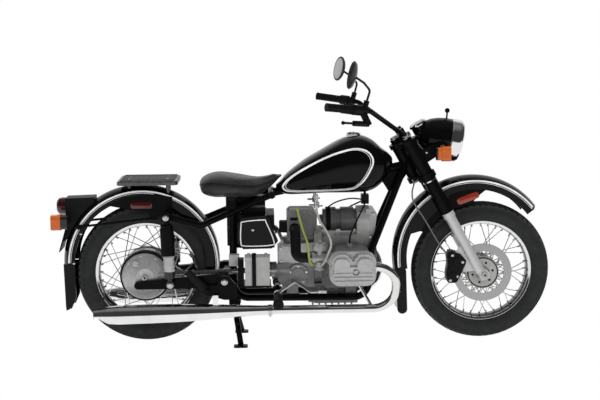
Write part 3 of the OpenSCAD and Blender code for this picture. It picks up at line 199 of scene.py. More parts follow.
def finish_mesh(mesh, smooth_angle=35.0, outward=True):
    if outward:
        bm = bmesh.new()
        bm.from_mesh(mesh)
        bmesh.ops.remove_doubles(bm, verts=bm.verts, dist=1e-7)
        bmesh.ops.recalc_face_normals(bm, faces=bm.faces)
        bm.to_mesh(mesh)
        bm.free()
    mesh.shade_smooth()
    mesh.set_sharp_from_angle(angle=math.radians(smooth_angle))
    return mesh


def new_object(name, mesh, finish=None):
    obj = bpy.data.objects.new(name, mesh)
    bpy.context.scene.collection.objects.link(obj)
    if finish:
        mesh.materials.clear()
        mesh.materials.append(FINISH[finish])
    return obj


def mesh_of(name, shapes, angle=35.0):
    """Several shapes as one mesh, smooth up to an angle."""
    verts, faces = join(shapes)
    mesh = bpy.data.meshes.new(name)
    mesh.from_pydata([tuple(v) for v in verts], [], faces)
    return finish_mesh(mesh, angle)


def piece(name, shapes, finish, body, angle=35.0):
    """Shapes as one finished piece that rides on a body."""
    obj = new_object(name, mesh_of(name, shapes, angle), finish)
    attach(obj, body)
    return obj


def join(parts):
    """Verts and faces of several shapes as one."""
    verts, faces = [], []
    for v, f in parts:
        at = len(verts)
        verts += list(v)
        faces += [[i + at for i in g] for g in f]
    return verts, faces


def loft(rings, closed=False, caps=True):
    n = len(rings[0])
    verts = [v for r in rings for v in r]
    faces = []
    m = len(rings)
    for j in range(m if closed else m - 1):
        for i in range(n):
            a, b = j * n, ((j + 1) % m) * n
            faces.append([a + i, a + (i + 1) % n, b + (i + 1) % n, b + i])
    if caps and not closed:
        faces.append(list(range(n))[::-1])
        faces.append([(m - 1) * n + i for i in range(n)])
    return verts, faces


def frame_for(axis):
    axis = Vector(axis).normalized()
    side = axis.cross(Vector((0, 0, 1)) if abs(axis.z) < 0.9 else Vector((1, 0, 0))).normalized()
    return side, axis.cross(side), axis


def turned(profile, centre, axis, n=64, closed=False):
    """A profile of radius and height, turned about an axis. An end at radius 0 closes to a cap."""
    side, up, axis = frame_for(axis)
    rings = []
    for i in range(n):
        a = 2 * math.pi * i / n
        d = side * math.cos(a) + up * math.sin(a)
        rings.append([Vector(centre) + d * r + axis * h for r, h in profile])
    m = len(profile)
    verts = [v for r in rings for v in r]
    faces = []
    for i in range(n):
        for j in range(m if closed else m - 1):
            k = (j + 1) % m
            faces.append([i * m + j, ((i + 1) % n) * m + j, ((i + 1) % n) * m + k, i * m + k])
    return verts, faces


def tube(points, radius, sides=10, closed=False):
    """A round tube along a curve, with its frame carried along."""
    pts = [Vector(p) for p in points]
    m = len(pts)
    rings = []
    side = None
    for j in range(m):
        before = pts[j - 1] if closed or j else pts[0]
        after = pts[(j + 1) % m] if closed or j < m - 1 else pts[-1]
        t = (after - before).normalized()
        if side is None:
            side = frame_for(t)[0]
        side = (side - t * side.dot(t)).normalized()
        up = t.cross(side)
        r = radius[j] if isinstance(radius, (list, tuple)) else radius
        rings.append([
            pts[j] + (side * math.cos(2 * math.pi * i / sides) + up * math.sin(2 * math.pi * i / sides)) * r
            for i in range(sides)
        ])
    return loft(rings, closed)


def slab(outline, y0, y1):
    """An outline in X and Z, made solid between two planes of Y."""
    n = len(outline)
    verts = [Vector((x, y0, z)) for x, z in outline] + [Vector((x, y1, z)) for x, z in outline]
    faces = [list(range(n)), list(range(2 * n - 1, n - 1, -1))]
    faces += [[i, (i + 1) % n, (i + 1) % n + n, i + n] for i in range(n)]
    return verts, faces


def arc_band(centre, r0, r1, a0, a1, y0, y1, n=96):
    """A band between two radii about an axle, from angle a0 to a1 up from the front, in degrees."""
    rings = []
    for i in range(n + 1):
        a = math.radians(a0 + (a1 - a0) * i / n)
        d = Vector((math.cos(a), 0, math.sin(a)))
        rings.append([
            centre + d * r0 + Vector((0, y0, 0)), centre + d * r1 + Vector((0, y0, 0)),
            centre + d * r1 + Vector((0, y1, 0)), centre + d * r0 + Vector((0, y1, 0)),
        ])
    return loft(rings)


def drawn_on(tree, path, width, side, lift=0.0004, closed=True):
    """A flat band that follows a path of X and Z on the surface that it meets from the side."""
    n = len(path)
    rings = []
    for i in range(n):
        a = path[i - 1] if closed or i else path[0]
        b = path[(i + 1) % n] if closed or i < n - 1 else path[-1]
        d = Vector((b[0] - a[0], b[1] - a[1])).normalized()
        out = Vector((-d.y, d.x))
        ring = []
        for k in (-1, 1):
            x, z = path[i][0] + out.x * k * width / 2, path[i][1] + out.y * k * width / 2
            hit, normal, _, _ = tree.ray_cast(Vector((x, side * 1.0, z)), Vector((0, -side, 0)))
            if hit is None:
                raise RuntimeError(f"the stripe leaves the tank at {x:.3f}, {z:.3f}")
            if normal.y * side < 0:
                normal = -normal
            ring.append((hit + normal * lift, hit - normal * 0.0006))
        rings.append([ring[0][0], ring[1][0], ring[1][1], ring[0][1]])
    return loft(rings, closed)


# Trees that repeat a shape

def socket_at(sockets, key):
    """A socket by its name, or by its place where names repeat."""
    return sockets[int(key) if key.isdigit() else key]


def grow_tree(name, sizes, kinds, settings, links):
    """A geometry tree of named nodes and links, with its sizes as inputs, that ends in real geometry."""
    tree = bpy.data.node_groups.new(name, "GeometryNodeTree")
    for label, kind, value in (("Geometry", "Geometry", None), *sizes, ("Material", "Material", None)):
        socket = tree.interface.new_socket(label, in_out="INPUT", socket_type="NodeSocket" + kind)
        if value is not None:
            socket.default_value = value
    tree.interface.new_socket("Geometry", in_out="OUTPUT", socket_type="NodeSocketGeometry")
    nodes = {label: tree.nodes.new(kind) for label, kind in {
        "given": "NodeGroupInput", "out": "NodeGroupOutput", "real": "GeometryNodeRealizeInstances",
        "paint": "GeometryNodeSetMaterial", "put": "GeometryNodeInstanceOnPoints", "shape": "GeometryNodeObjectInfo",
        "times": "ShaderNodeMath", **kinds,
    }.items()}
    for label, key, value in settings:
        setattr(nodes[label], key, value)
    for link in (
        *links, "given.Shape > shape.Object", "points.0 > put.Points", "shape.Geometry > put.Instance",
        "turn.0 > put.Rotation", "put.0 > real.0", "real.0 > paint.Geometry", "given.Material > paint.Material",
        "paint.0 > out.0",
    ):
        (a, out), (b, into) = (end.split(".") for end in link.split(" > "))
        tree.links.new(socket_at(nodes[a].outputs, out), socket_at(nodes[b].inputs, into))
    return tree, nodes


def tree_on_points():
    """Sets a shape on each point, its own Z along the point's facing, at the point's size."""
    tree, nodes = grow_tree("set_on_points", [("Shape", "Object", None), ("Scale", "Float", 1.0)], {
        "points": "GeometryNodeMeshToPoints", "turn": "FunctionNodeAlignRotationToVector",
        "facing": "GeometryNodeInputNamedAttribute", "size": "GeometryNodeInputNamedAttribute",
    }, [
        ("facing", "data_type", "FLOAT_VECTOR"), ("size", "data_type", "FLOAT"), ("turn", "axis", "Z"),
        ("times", "operation", "MULTIPLY"),
    ], [
        "given.Geometry > points.Mesh", "facing.Attribute > turn.Vector", "size.Attribute > times.0",
        "given.Scale > times.1", "times.0 > put.Scale",
    ])
    for label in ("facing", "size"):
        nodes[label].inputs["Name"].default_value = label
    return tree


def tree_round_axle():
    """Repeats a shape about an axle that lies along Y, evenly."""
    return grow_tree("repeat_round_axle", [
        ("Shape", "Object", None), ("Count", "Int", 12), ("First", "Float", 0.0), ("Step", "Float", 0.5),
        ("Axle", "Vector", (0.0, 0.0, 0.0)),
    ], {
        "points": "GeometryNodePoints", "index": "GeometryNodeInputIndex", "turn": "FunctionNodeEulerToRotation",
        "angles": "ShaderNodeCombineXYZ",
    }, [("times", "operation", "MULTIPLY_ADD")], [
        "given.Count > points.Count", "given.Axle > points.Position", "index.0 > times.0", "given.Step > times.1",
        "given.First > times.2", "times.0 > angles.Y", "angles.0 > turn.0",
    ])[0]


def grown(name, tree, base, inputs, body, angle=35.0):
    """Runs a tree on a base mesh, and keeps what it makes as a plain mesh that rides on a body."""
    if not TREES:
        TREES.update(points=tree_on_points(), axle=tree_round_axle())
    nodes = TREES[tree]
    host = new_object(name + "_base", base)
    mod = host.modifiers.new("grow", "NODES")
    mod.node_group = nodes
    sockets = [i for i in nodes.interface.items_tree if i.item_type == "SOCKET" and i.in_out == "INPUT"]
    ids = {i.name: i.identifier for i in sockets}
    for label, value in inputs.items():
        mod[ids[label]] = value
    bpy.context.view_layer.update()
    made = bpy.data.meshes.new_from_object(host.evaluated_get(bpy.context.evaluated_depsgraph_get()))
    host.modifiers.remove(mod)
    bpy.data.objects.remove(host)
    bpy.data.objects.remove(inputs["Shape"])
    if not made.polygons:
        raise RuntimeError(f"{name} came out empty")
    made.name = name
    finish_mesh(made, angle, outward=False)
    obj = new_object(name, made)
    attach(obj, body)
    return obj


def bare_shape(name, shapes):
    """A shape for a tree to repeat."""
    return new_object(name, mesh_of(name, shapes))


def point_mesh(name, places):
    """Points with a facing and a size each."""
    mesh = bpy.data.meshes.new(name)
    mesh.from_pydata([tuple(p) for p, _, _ in places], [], [])
    mesh.attributes.new("facing", "FLOAT_VECTOR", "POINT")
    mesh.attributes.new("size", "FLOAT", "POINT")
    mesh.attributes["facing"].data.foreach_set("vector", [c for _, d, _ in places for c in Vector(d).normalized()])
    mesh.attributes["size"].data.foreach_set("value", [size for _, _, size in places])
    return mesh


def set_on(name, places, shapes, finish, body, angle=35.0):
    """Shapes on places of point, facing and size, as one piece."""
    return grown(name, "points", point_mesh(name + "_points", places), {
        "Shape": bare_shape(name + "_shape", shapes), "Scale": 1.0, "Material": FINISH[finish],
    }, body, angle)


def spindle(profile, n, unit=1.0):
    """A shape through rings of n points, of radius and height about Z."""
    turn = [2 * math.pi * i / n for i in range(n)]
    return loft([[Vector((r * math.cos(a), r * math.sin(a), z)) / unit for a in turn] for r, z in profile])


def hex_head(r, h):
    """A bolt head on a washer, standing on the plane Z = 0, sunk a little into its seat."""
    washer = spindle(((r * 1.35, -0.001), (r * 1.35, h * 0.2), (r * 1.25, h * 0.26)), 20)
    return [washer, spindle(((r, -0.001), (r, h * 0.85), (r * 0.86, h)), 6)]


def dome_head(r, h):
    """A round-headed screw on the plane Z = 0."""
    profile = ((1.0, -0.25), (1.0, 0.25), (0.86, 0.66), (0.55, 0.92), (0.2, 1.0))
    return [spindle([(r * k, h * z) for k, z in profile], 14)]


def bolts(name, places, body, kind="hex", finish="bolt_steel"):
    """Bolts of one kind at places of point, facing and size, as one piece."""
    head = hex_head(1.0, 0.75) if kind == "hex" else dome_head(1.0, 0.6)
    return set_on(name, places, head, finish, body, 30.0)


def surface_of(nodes):
    """The solids' own surface, for what is set on it."""
    parts = []
    for name in nodes:
        mesh = frame["nodes"][name].data
        parts.append(([v.co for v in mesh.vertices], [list(p.vertices) for p in mesh.polygons]))
    return BVHTree.FromPolygons(*join(parts))


def seats(nodes, spots, way, size):
    """Places where lines along a way first meet some solids, each facing back along its line."""
    tree = surface_of(nodes)
    way = Vector(way).normalized()
    out = []
    for p in spots:
        hit = tree.ray_cast(Vector(p) + mm(0.4, 0.3, 0.3) - way * 0.6, way)[0]
        if hit is None:
            raise RuntimeError(f"{nodes[0]} has no seat at {tuple(p)}")
        out.append((hit, -way, size))
    return out


def hoop(r, wide, thick, centre, axis, n=48):
    """A band about an axis, of inner radius r, with its edges broken."""
    h, e = wide / 2, min(wide, thick) * 0.25
    profile = [(r, -h), (r + thick - e, -h), (r + thick, e - h), (r + thick, h - e), (r + thick - e, h), (r, h)]
    return turned(profile, centre, axis, n, True)


# Finishes

class Nodes:
    """A shader tree, and the making of its nodes."""

    def __init__(self, tree):
        self.tree = tree

    def feed(self, socket, value):
        if isinstance(value, bpy.types.NodeSocket):
            self.tree.links.new(value, socket)
        else:
            socket.default_value = value

    def node(self, kind, **inputs):
        """A new node of a kind, with its inputs fed by name."""
        n = self.tree.nodes.new("ShaderNode" + kind)
        for label, value in inputs.items():
            self.feed(n.inputs[label.replace("_", " ")], value)
        return n

    def span(self, value, low, high, to_low=0.0, to_high=1.0, blend="LINEAR"):
        n = self.node("MapRange", Value=value, From_Min=low, From_Max=high, To_Min=to_low, To_Max=to_high)
        n.interpolation_type = blend
        return n.outputs[0]

    def sum(self, operation, a, b):
        n = self.node("Math")
        n.operation = operation
        self.feed(n.inputs[0], a)
        self.feed(n.inputs[1], b)
        return n.outputs[0]


class Finish(Nodes):
    """A procedural finish on the piece's own Object coordinates."""

    def __init__(self, name, colour, rough=0.5, metal=0.0, **sockets):
        FINISH[name] = bpy.data.materials.new(name)
        FINISH[name].use_nodes = True
        super().__init__(FINISH[name].node_tree)
        self.shader = self.tree.nodes["Principled BSDF"]
        given = {"Base Color": (*colour, 1.0), "Roughness": rough, "Metallic": metal, **sockets}
        for label, value in given.items():
            self.shader.inputs[label.replace("_", " ")].default_value = value
        self.at = self.node("TexCoord").outputs["Object"]

    def noise(self, scale, detail=3.0, rough=0.55, at=None, twist=0.0):
        return self.node(
            "TexNoise", Vector=at or self.at, Scale=scale, Detail=detail, Roughness=rough, Distortion=twist,
        ).outputs[0]

    def cells(self, scale):
        return self.node("TexVoronoi", Vector=self.at, Scale=scale).outputs["Distance"]

    def waves(self, scale, direction, at=None):
        n = self.node("TexWave", Vector=at or self.at, Scale=scale)
        n.bands_direction = direction
        return n.outputs["Fac"]

    def mix(self, share, a, b):
        n = self.node("Mix")
        n.data_type = "RGBA"
        self.feed(n.inputs[0], share)
        for socket, value in ((n.inputs[6], a), (n.inputs[7], b)):
            self.feed(socket, value if isinstance(value, bpy.types.NodeSocket) else (*value, 1.0))
        return n.outputs[2]

    def varied(self, scale, detail, colour, low, high):
        """A colour that drifts between two shades of itself."""
        return self.mix(self.noise(scale, detail), shade(colour, low), shade(colour, high))

    def axis(self, letter):
        return self.node("SeparateXYZ", Vector=self.at).outputs[letter]

    def radius(self, axle):
        """Distance from an axle along Y."""
        moved = self.node("Mapping", Vector=self.at, Location=(-axle[0], 0, -axle[2]), Scale=(1, 0, 1))
        n = self.node("VectorMath", Vector=moved.outputs[0])
        n.operation = "LENGTH"
        return n.outputs["Value"]

    def line(self, value):
        """A number as a place along X, for a pattern in one direction."""
        return self.node("CombineXYZ", X=value).outputs[0]

    def colour(self, value):
        self.feed(self.shader.inputs["Base Color"], value)

    def rough(self, value):
        self.feed(self.shader.inputs["Roughness"], value)

    def bump(self, height, strength, distance):
        n = self.node("Bump", Height=height, Strength=strength, Distance=distance)
        self.feed(self.shader.inputs["Normal"], n.outputs[0])


def shade(colour, k):
    return tuple(c * k for c in colour)


def gloss_paint(name, colour, rough=0.07):
    f = Finish(name, colour, rough, 0.0, Specular_IOR_Level=0.16)
    f.colour(f.varied(7.0, 4.0, colour, 0.8, 1.3))
    f.rough(f.span(f.noise(38.0, 5.0), 0.3, 0.75, rough * 0.7, rough * 1.8))
    f.bump(f.noise(420.0, 2.0), 0.018, 0.0004)


def enamel(name, colour, rough=0.24):
    f = Finish(name, colour, rough, 0.0, Specular_IOR_Level=0.07)
    f.colour(f.varied(16.0, 5.0, colour, 0.7, 1.7))
    f.rough(f.span(f.noise(60.0, 4.0), 0.3, 0.7, rough * 0.75, rough * 1.5))
    f.bump(f.noise(240.0, 3.0), 0.06, 0.0005)


def cast_alloy(name, colour, rough=0.42, grain=520.0, stain=0.5, metal=0.6, lift=None):
    f = Finish(name, colour, rough, metal)
    patches = f.span(f.noise(11.0, 6.0, 0.65), 0.35, 0.72)
    specks = f.span(f.noise(170.0, 3.0), 0.4, 0.7)
    warm = tuple(c * k for c, k in zip(shade(colour, stain), (1.0, 0.97, 0.92)))
    plain = f.mix(f.sum("MULTIPLY", patches, specks), colour, warm)
    # Painted light: when lift gives a low height, a high height and a factor, the colour turns lighter upwards as a
    # painted lit top, and the part below keeps the plain, darker colour as painted shade.
    if lift:
        low, high, k = lift
        bright = f.mix(patches, shade(colour, k), shade(colour, k * 0.8))
        plain = f.mix(f.span(f.axis("Z"), low, high), plain, bright)
    f.colour(plain)
    f.rough(f.span(f.noise(75.0, 4.0), 0.3, 0.7, rough * 0.8, rough * 1.3))
    f.bump(f.noise(grain, 3.0), 0.16, 0.0006)


def plated(name, colour=(0.83, 0.83, 0.84), rough=0.05):
    f = Finish(name, colour, rough, 1.0)
    f.colour(f.mix(f.span(f.noise(9.0, 4.0), 0.4, 0.75), colour, shade(colour, 0.88)))
    f.rough(f.span(f.noise(120.0, 4.0), 0.35, 0.7, rough * 0.6, rough * 2.2))
    f.bump(f.noise(30.0, 2.0), 0.012, 0.001)


def moulded(name, colour, rough=0.45, grain=700.0):
    f = Finish(name, colour, rough, 0.0, Specular_IOR_Level=0.18)
    f.colour(f.varied(24.0, 4.0, colour, 0.8, 1.25))
    f.rough(f.span(f.noise(90.0, 3.0), 0.3, 0.7, rough * 0.85, rough * 1.2))
    f.bump(f.cells(grain), 0.12, 0.0005)


def lens(name, colour, ribs, direction):
    f = Finish(name, colour, 0.12, 0.0, Coat_Weight=0.5, Coat_Roughness=0.05)
    f.colour(f.varied(30.0, 3.0, colour, 0.75, 1.2))
    f.bump(f.waves(ribs, direction), 0.35, 0.002)


def wheel_metal(name, axle, hub_r):
    """Plated rim and spokes outside, cast hub inside, by distance from the axle, with a dark band painted across the
    rim as painted reflection.
    """
    f = Finish(name, (0.8, 0.8, 0.81), 0.08, 1.0)
    r = f.radius(axle)
    hub = f.span(r, hub_r + 0.003, hub_r + 0.005, 1.0, 0.0)
    cast = f.mix(f.noise(60.0, 5.0), (0.34, 0.345, 0.35), (0.5, 0.5, 0.51))
    bright = f.mix(f.noise(14.0, 3.0), (0.8, 0.8, 0.81), (0.7, 0.7, 0.72))
    # Painted reflection: the chrome rim is dark between these radii and bright again at its outer edge.
    edge = f.span(r, 0.2205, 0.2225)
    inner = f.span(r, 0.2025, 0.2045)
    rim = f.mix(inner, bright, f.mix(edge, (0.12, 0.12, 0.122), bright))
    f.colour(f.mix(hub, rim, cast))
    f.rough(f.span(hub, 0.0, 1.0, 0.07, 0.4))
    f.bump(f.sum("MULTIPLY", f.noise(420.0, 3.0), hub), 0.15, 0.0006)


def turned_steel(name, axle, colour=(0.55, 0.55, 0.55)):
    """Steel with the fine rings of a lathe about an axle."""
    f = Finish(name, colour, 0.3, 1.0)
    r = f.line(f.radius(axle))
    rings = f.noise(1300.0, 2.0, 0.6, r)
    broad = f.noise(140.0, 2.0, 0.5, r)
    f.colour(f.mix(f.sum("MULTIPLY", rings, broad), shade(colour, 1.3), shade(colour, 0.75)))
    f.rough(f.span(rings, 0.3, 0.7, 0.22, 0.42))
    f.bump(rings, 0.12, 0.0004)


def tyre_rubber(name, axle, colour):
    """Charcoal rubber with fine moulded rings on the wall and dust in the tread."""
    f = Finish(name, colour, 0.7, 0.0, Specular_IOR_Level=0.3)
    r = f.radius(axle)
    tread = f.span(r, 0.296, 0.306)
    dust = f.sum("MULTIPLY", f.span(f.noise(26.0, 6.0), 0.42, 0.7), 0.5)
    wall = f.mix(dust, shade(colour, 0.85), shade(colour, 1.5))
    f.colour(f.mix(tread, wall, f.varied(60.0, 5.0, colour, 0.9, 1.7)))
    f.rough(f.span(f.noise(50.0, 4.0), 0.3, 0.7, 0.58, 0.78))
    rings = f.sum("MULTIPLY", f.waves(46.0, "X", f.line(r)), f.span(r, 0.262, 0.27, 1.0, 0.0))
    f.bump(f.sum("ADD", rings, f.sum("MULTIPLY", f.noise(800.0, 2.0), 0.5)), 0.16, 0.0008)


def saddle_leather(name, colour):
    """Leather with a pebbled grain, creases and rubbed patches."""
    f = Finish(name, colour, 0.42, 0.0, Specular_IOR_Level=0.5, Sheen_Weight=0.12)
    rub = f.span(f.noise(9.0, 4.0), 0.45, 0.7)
    f.colour(f.mix(rub, colour, shade(colour, 2.1)))
    f.rough(f.span(f.noise(70.0, 4.0), 0.3, 0.7, 0.34, 0.52))
    grain = f.sum("ADD", f.cells(620.0), f.sum("MULTIPLY", f.noise(55.0, 5.0, 0.6, None, 0.6), 1.4))
    f.bump(grain, 0.3, 0.0012)


def clear_glass(name):
    f = Finish(name, (0.95, 0.97, 0.97), 0.03, 0.0, Transmission_Weight=1.0, IOR=1.46)
    f.rough(f.span(f.noise(40.0, 3.0), 0.3, 0.7, 0.01, 0.06))
    f.bump(f.waves(26.0, "Y"), 0.12, 0.002)


def split_by(name, letter, edge, low, high, rough=(0.15, 0.4)):
    """Two colours of one moulded piece, parted at a place along an axis."""
    f = Finish(name, low, 0.2, 0.0, Coat_Weight=0.3, Coat_Roughness=0.06)
    part = f.span(f.axis(letter), edge - 0.0004, edge + 0.0004)
    f.colour(f.mix(part, f.varied(40.0, 3.0, low, 0.8, 1.2), f.varied(40.0, 3.0, high, 0.8, 1.2)))
    f.rough(f.span(part, 0.0, 1.0, rough[0], rough[1]))
    f.bump(f.waves(60.0, "Z"), 0.15, 0.001)


FINISH_NODES = {
    "frame_enamel": "frame swingarm centre_stand fork_yokes fork_uppers fender_brackets shock_covers handlebar",
    "caliper_black": "brake_caliper", "crankcase_alloy": "engine_block", "alternator_alloy": "alternator",
    "barrel_alloy": "cylinder_right cylinder_left", "head_alloy": "head_right head_left",
    "rocker_alloy": "rocker_covers", "carburettor_alloy": "carburettors", "gearbox_alloy": "gearbox",
    "drive_alloy": "final_drive", "shock_metal": "shock_bodies", "slider_alloy": "fork_sliders",
    "filter_alloy": "air_box", "moulded_black": "bar_controls tail_lamp_body tool_box",
    "tank_paint": "side_covers fuel_tank rear_fender front_fender headlamp_shell", "battery_case": "battery",
    "header_chrome": "exhaust_headers", "silencer_chrome": "silencers",
    "bright_chrome": "filler_cap headlamp_rim speedometer", "mirror_shell": "mirrors", "bolt_steel": "fuel_tap",
    "rack_finish": "luggage_rack", "tail_red": "tail_lens", "rear_amber": "rear_indicators",
    "front_amber": "front_indicators", "shaft_steel": "drive_shaft", "axle_steel": "rear_axle front_axle",
    "lever_steel": "pedals kick_lever", "peg_rubber": "foot_pegs saddle_mounts", "grip_rubber": "grips",
    "saddle_leather": "saddle", "lamp_glass": "headlamp_glass", "front_tyre_rubber": "front_tyre",
    "rear_tyre_rubber": "rear_tyre", "front_wheel_metal": "front_wheel", "rear_wheel_metal": "rear_wheel",
    "disc_steel": "front_disc", "hose_rubber": "rubber_hoses", "brake_line": "brake_hose",
    "fuel_hose": "fuel_hoses",
}
NODE_FINISH = {node: finish for finish, nodes in FINISH_NODES.items() for node in nodes.split()}


class MOTORCYCLE_OT_finishes(bpy.types.Operator):
    """Makes the finishes and puts one on each solid of the frame"""
    bl_idname = "motorcycle.finishes"
    bl_label = "Finishes"

    def execute(self, context):
        c = context.scene.motorcycle_colours
        gloss_paint("tank_paint", tuple(c.paint))
        enamel("frame_enamel", tuple(c.enamel))
        enamel("caliper_black", (0.008, 0.008, 0.0085), 0.34)
        enamel("stripe_enamel", tuple(c.stripe), 0.2)
        # Painted light and shade: the crankcase turns lighter from 0.45 m up to 0.53 m and above, and keeps the darker
        # colour below.
        cast_alloy("crankcase_alloy", (0.2, 0.197, 0.195), 0.5, 480.0, 0.5, 0.6, (0.45, 0.53, 3.2))
        cast_alloy("alternator_alloy", (0.2, 0.2, 0.202), 0.4)
        cast_alloy("barrel_alloy", (0.24, 0.24, 0.242), 0.46)
        cast_alloy("head_alloy", (0.34, 0.34, 0.342), 0.44)
        cast_alloy("rocker_alloy", (0.55, 0.55, 0.553), 0.34, 520.0, 0.7)
        # Painted light and shade: the gearbox turns lighter from 0.36 m up to 0.4 m and above, and keeps the darker
        # colour below.
        cast_alloy("gearbox_alloy", (0.3, 0.3, 0.302), 0.44, 520.0, 0.5, 0.6, (0.36, 0.4, 2.1))
        cast_alloy("drive_alloy", (0.6, 0.6, 0.6), 0.42)
        cast_alloy("carburettor_alloy", (0.42, 0.42, 0.42), 0.34)
        cast_alloy("slider_alloy", (0.66, 0.66, 0.67), 0.34, 600.0, 0.88, 0.3)
        cast_alloy("hub_alloy", (0.5, 0.51, 0.49), 0.4, 600.0, 0.8, 0.4)
        plated("bright_chrome")
        plated("header_chrome", (0.8, 0.79, 0.78), 0.06)
        plated("silencer_chrome", (0.82, 0.82, 0.83), 0.06)
        plated("bolt_steel", (0.62, 0.62, 0.63), 0.2)
        plated("lever_steel", (0.6, 0.6, 0.61), 0.24)
        plated("shaft_steel", (0.4, 0.4, 0.41), 0.3)
        plated("axle_steel", (0.5, 0.5, 0.51), 0.28)
        plated("mirror_glass", (0.42, 0.43, 0.44), 0.03)
        enamel("mirror_shell", (0.02, 0.02, 0.021), 0.16)
        moulded("moulded_black", (0.005, 0.005, 0.0052))
        moulded("peg_rubber", (0.008, 0.008, 0.008), 0.65, 500.0)
        moulded("grip_rubber", (0.006, 0.006, 0.0062), 0.6, 560.0)
        # Black rubber of straps, seals and stitches, and also the painted shade in the hub plate's holes and gap and in
        # the filter housing's slots.
        moulded("strap_rubber", (0.005, 0.005, 0.005), 0.6)
        moulded("dial_black", (0.006, 0.006, 0.0065), 0.35)
        moulded("dial_white", (0.75, 0.75, 0.72), 0.4)
        moulded("hose_rubber", (0.006, 0.006, 0.006), 0.5, 420.0)
        moulded("brake_line", (0.16, 0.16, 0.165), 0.4, 420.0)
        cast_alloy("filter_alloy", (0.24, 0.238, 0.236), 0.46, 300.0, 0.35)
        split_by("fuel_hose", "X", 0.046, (0.42, 0.46, 0.1), (0.55, 0.55, 0.5), (0.25, 0.25))
        split_by("battery_case", "X", STAND_X + 0.042, (0.45, 0.45, 0.46), (0.42, 0.42, 0.41), (0.3, 0.4))
        split_by("shock_metal", "Z", 0.371, (0.008, 0.008, 0.008), (0.5, 0.5, 0.5), (0.35, 0.3))
        split_by("rear_amber", "X", CAD_BOX[0][0] + 0.043, tuple(c.amber), (0.012, 0.012, 0.012))
        lens_edge = on_steer(150, 0, 590).x - 0.026
        split_by("front_amber", "X", lens_edge, (0.012, 0.012, 0.012), tuple(c.amber), (0.4, 0.15))
        lens("tail_red", tuple(c.red), 34.0, "Z")
        lens("reflector_red", (0.08, 0.003, 0.003), 120.0, "X")
        lens("reflector_amber", (0.33, 0.035, 0.012), 120.0, "X")
        plated("rack_finish", (0.17, 0.17, 0.172), 0.3)
        moulded("strip_rubber", (0.07, 0.072, 0.075), 0.5)
        turned_steel("disc_steel", FRONT_AXLE, (0.4, 0.4, 0.4))
        wheel_metal("front_wheel_metal", FRONT_AXLE, 0.072)
        wheel_metal("rear_wheel_metal", REAR_AXLE, 0.118)
        tyre_rubber("front_tyre_rubber", FRONT_AXLE, tuple(c.rubber))
        tyre_rubber("rear_tyre_rubber", REAR_AXLE, tuple(c.rubber))
        saddle_leather("saddle_leather", tuple(c.leather))
        clear_glass("lamp_glass")
        for name, obj in frame["nodes"].items():
            obj.data.materials.clear()
            obj.data.materials.append(FINISH[NODE_FINISH[name]])
        return {"FINISHED"}


# Pieces

TANK_STATIONS = (
    (0.0, 716, 732, 0.16), (0.045, 698, 753, 0.38), (0.08, 690, 776, 0.5), (0.13, 688, 799, 0.6),
    (0.25, 690, 846, 0.78), (0.4, 694, 892, 0.9), (0.56, 694, 938, 0.98), (0.7, 695, 957, 1.0),
    (0.82, 704, 938, 0.93), (0.91, 738, 898, 0.76), (0.97, 786, 874, 0.52), (1.0, 816, 856, 0.3),
)
TANK_STRIPE = (
    (205, 902), (243, 904), (279, 892), (300, 868), (305, 843), (294, 812), (267, 766), (240, 738), (209, 721),
    (125, 714), (36, 711), (-50, 709), (-86, 713), (-99, 728), (-91, 745), (-74, 764), (-36, 793), (24, 829),
    (84, 860), (144, 885),
)
STRIPE_MIDDLE = Vector((0.11, 0.81))


class MOTORCYCLE_OT_tank(bpy.types.Operator):
    """Fuel tank as one smooth pressing, with its stripes"""
    bl_idname = "motorcycle.tank"
    bl_label = "Tank"

    def execute(self, context):
        sizes = context.scene.motorcycle_sizes
        low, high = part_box("fuel_tank")
        back, front, half = low.x, high.x, (high.y - low.y) / 2
        stations = [(back + f * (front - back), b / 1000, t / 1000, w * half) for f, b, t, w in TANK_STATIONS]
        rings = [section_ring(s, 96, TANK_ROUND) for s in smooth(stations, 9)]
        tank = piece("tank_shell", [loft(rings)], "tank_paint", "chassis", 60.0)
        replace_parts(tank, "fuel_tank")
        surface = BVHTree.FromObject(tank, bpy.context.evaluated_depsgraph_get())
        outline = smooth([(x / 1000, z / 1000) for x, z in TANK_STRIPE], 10, True)
        inner = [STRIPE_MIDDLE + (Vector(p) - STRIPE_MIDDLE) * 0.945 for p in outline]
        bands = []
        for side in SIDES:
            bands.append(drawn_on(surface, outline, sizes.stripe, side))
            bands.append(drawn_on(surface, inner, sizes.line, side))
        piece("tank_stripes", bands, "stripe_enamel", "chassis")
        return {"FINISHED"}


SADDLE_STATIONS = (
    (0, 716, 752, 0.42), (14, 698, 773, 0.72), (60, 690, 790, 0.93), (115, 690, 786, 1.0), (185, 690, 775, 0.92),
    (255, 693, 765, 0.7), (312, 722, 771, 0.44), (358, 764, 787, 0.25), (376, 778, 787, 0.12),
)
SADDLE_SHRINK = -0.004
PRESSURE, STIFFNESS, CLOTH_FRAMES = 4.0, 25.0, 20

# A stitch and a spoke nipple, as radius and height in millimetres
STITCH = ((0.2, -2.2), (0.55, -1.7), (0.6, 0.0), (0.55, 1.7), (0.2, 2.2))
NIPPLE = ((4.0, -1.0), (4.0, 1.0), (3.2, 2.0), (3.2, 11.0), (2.4, 12.5))


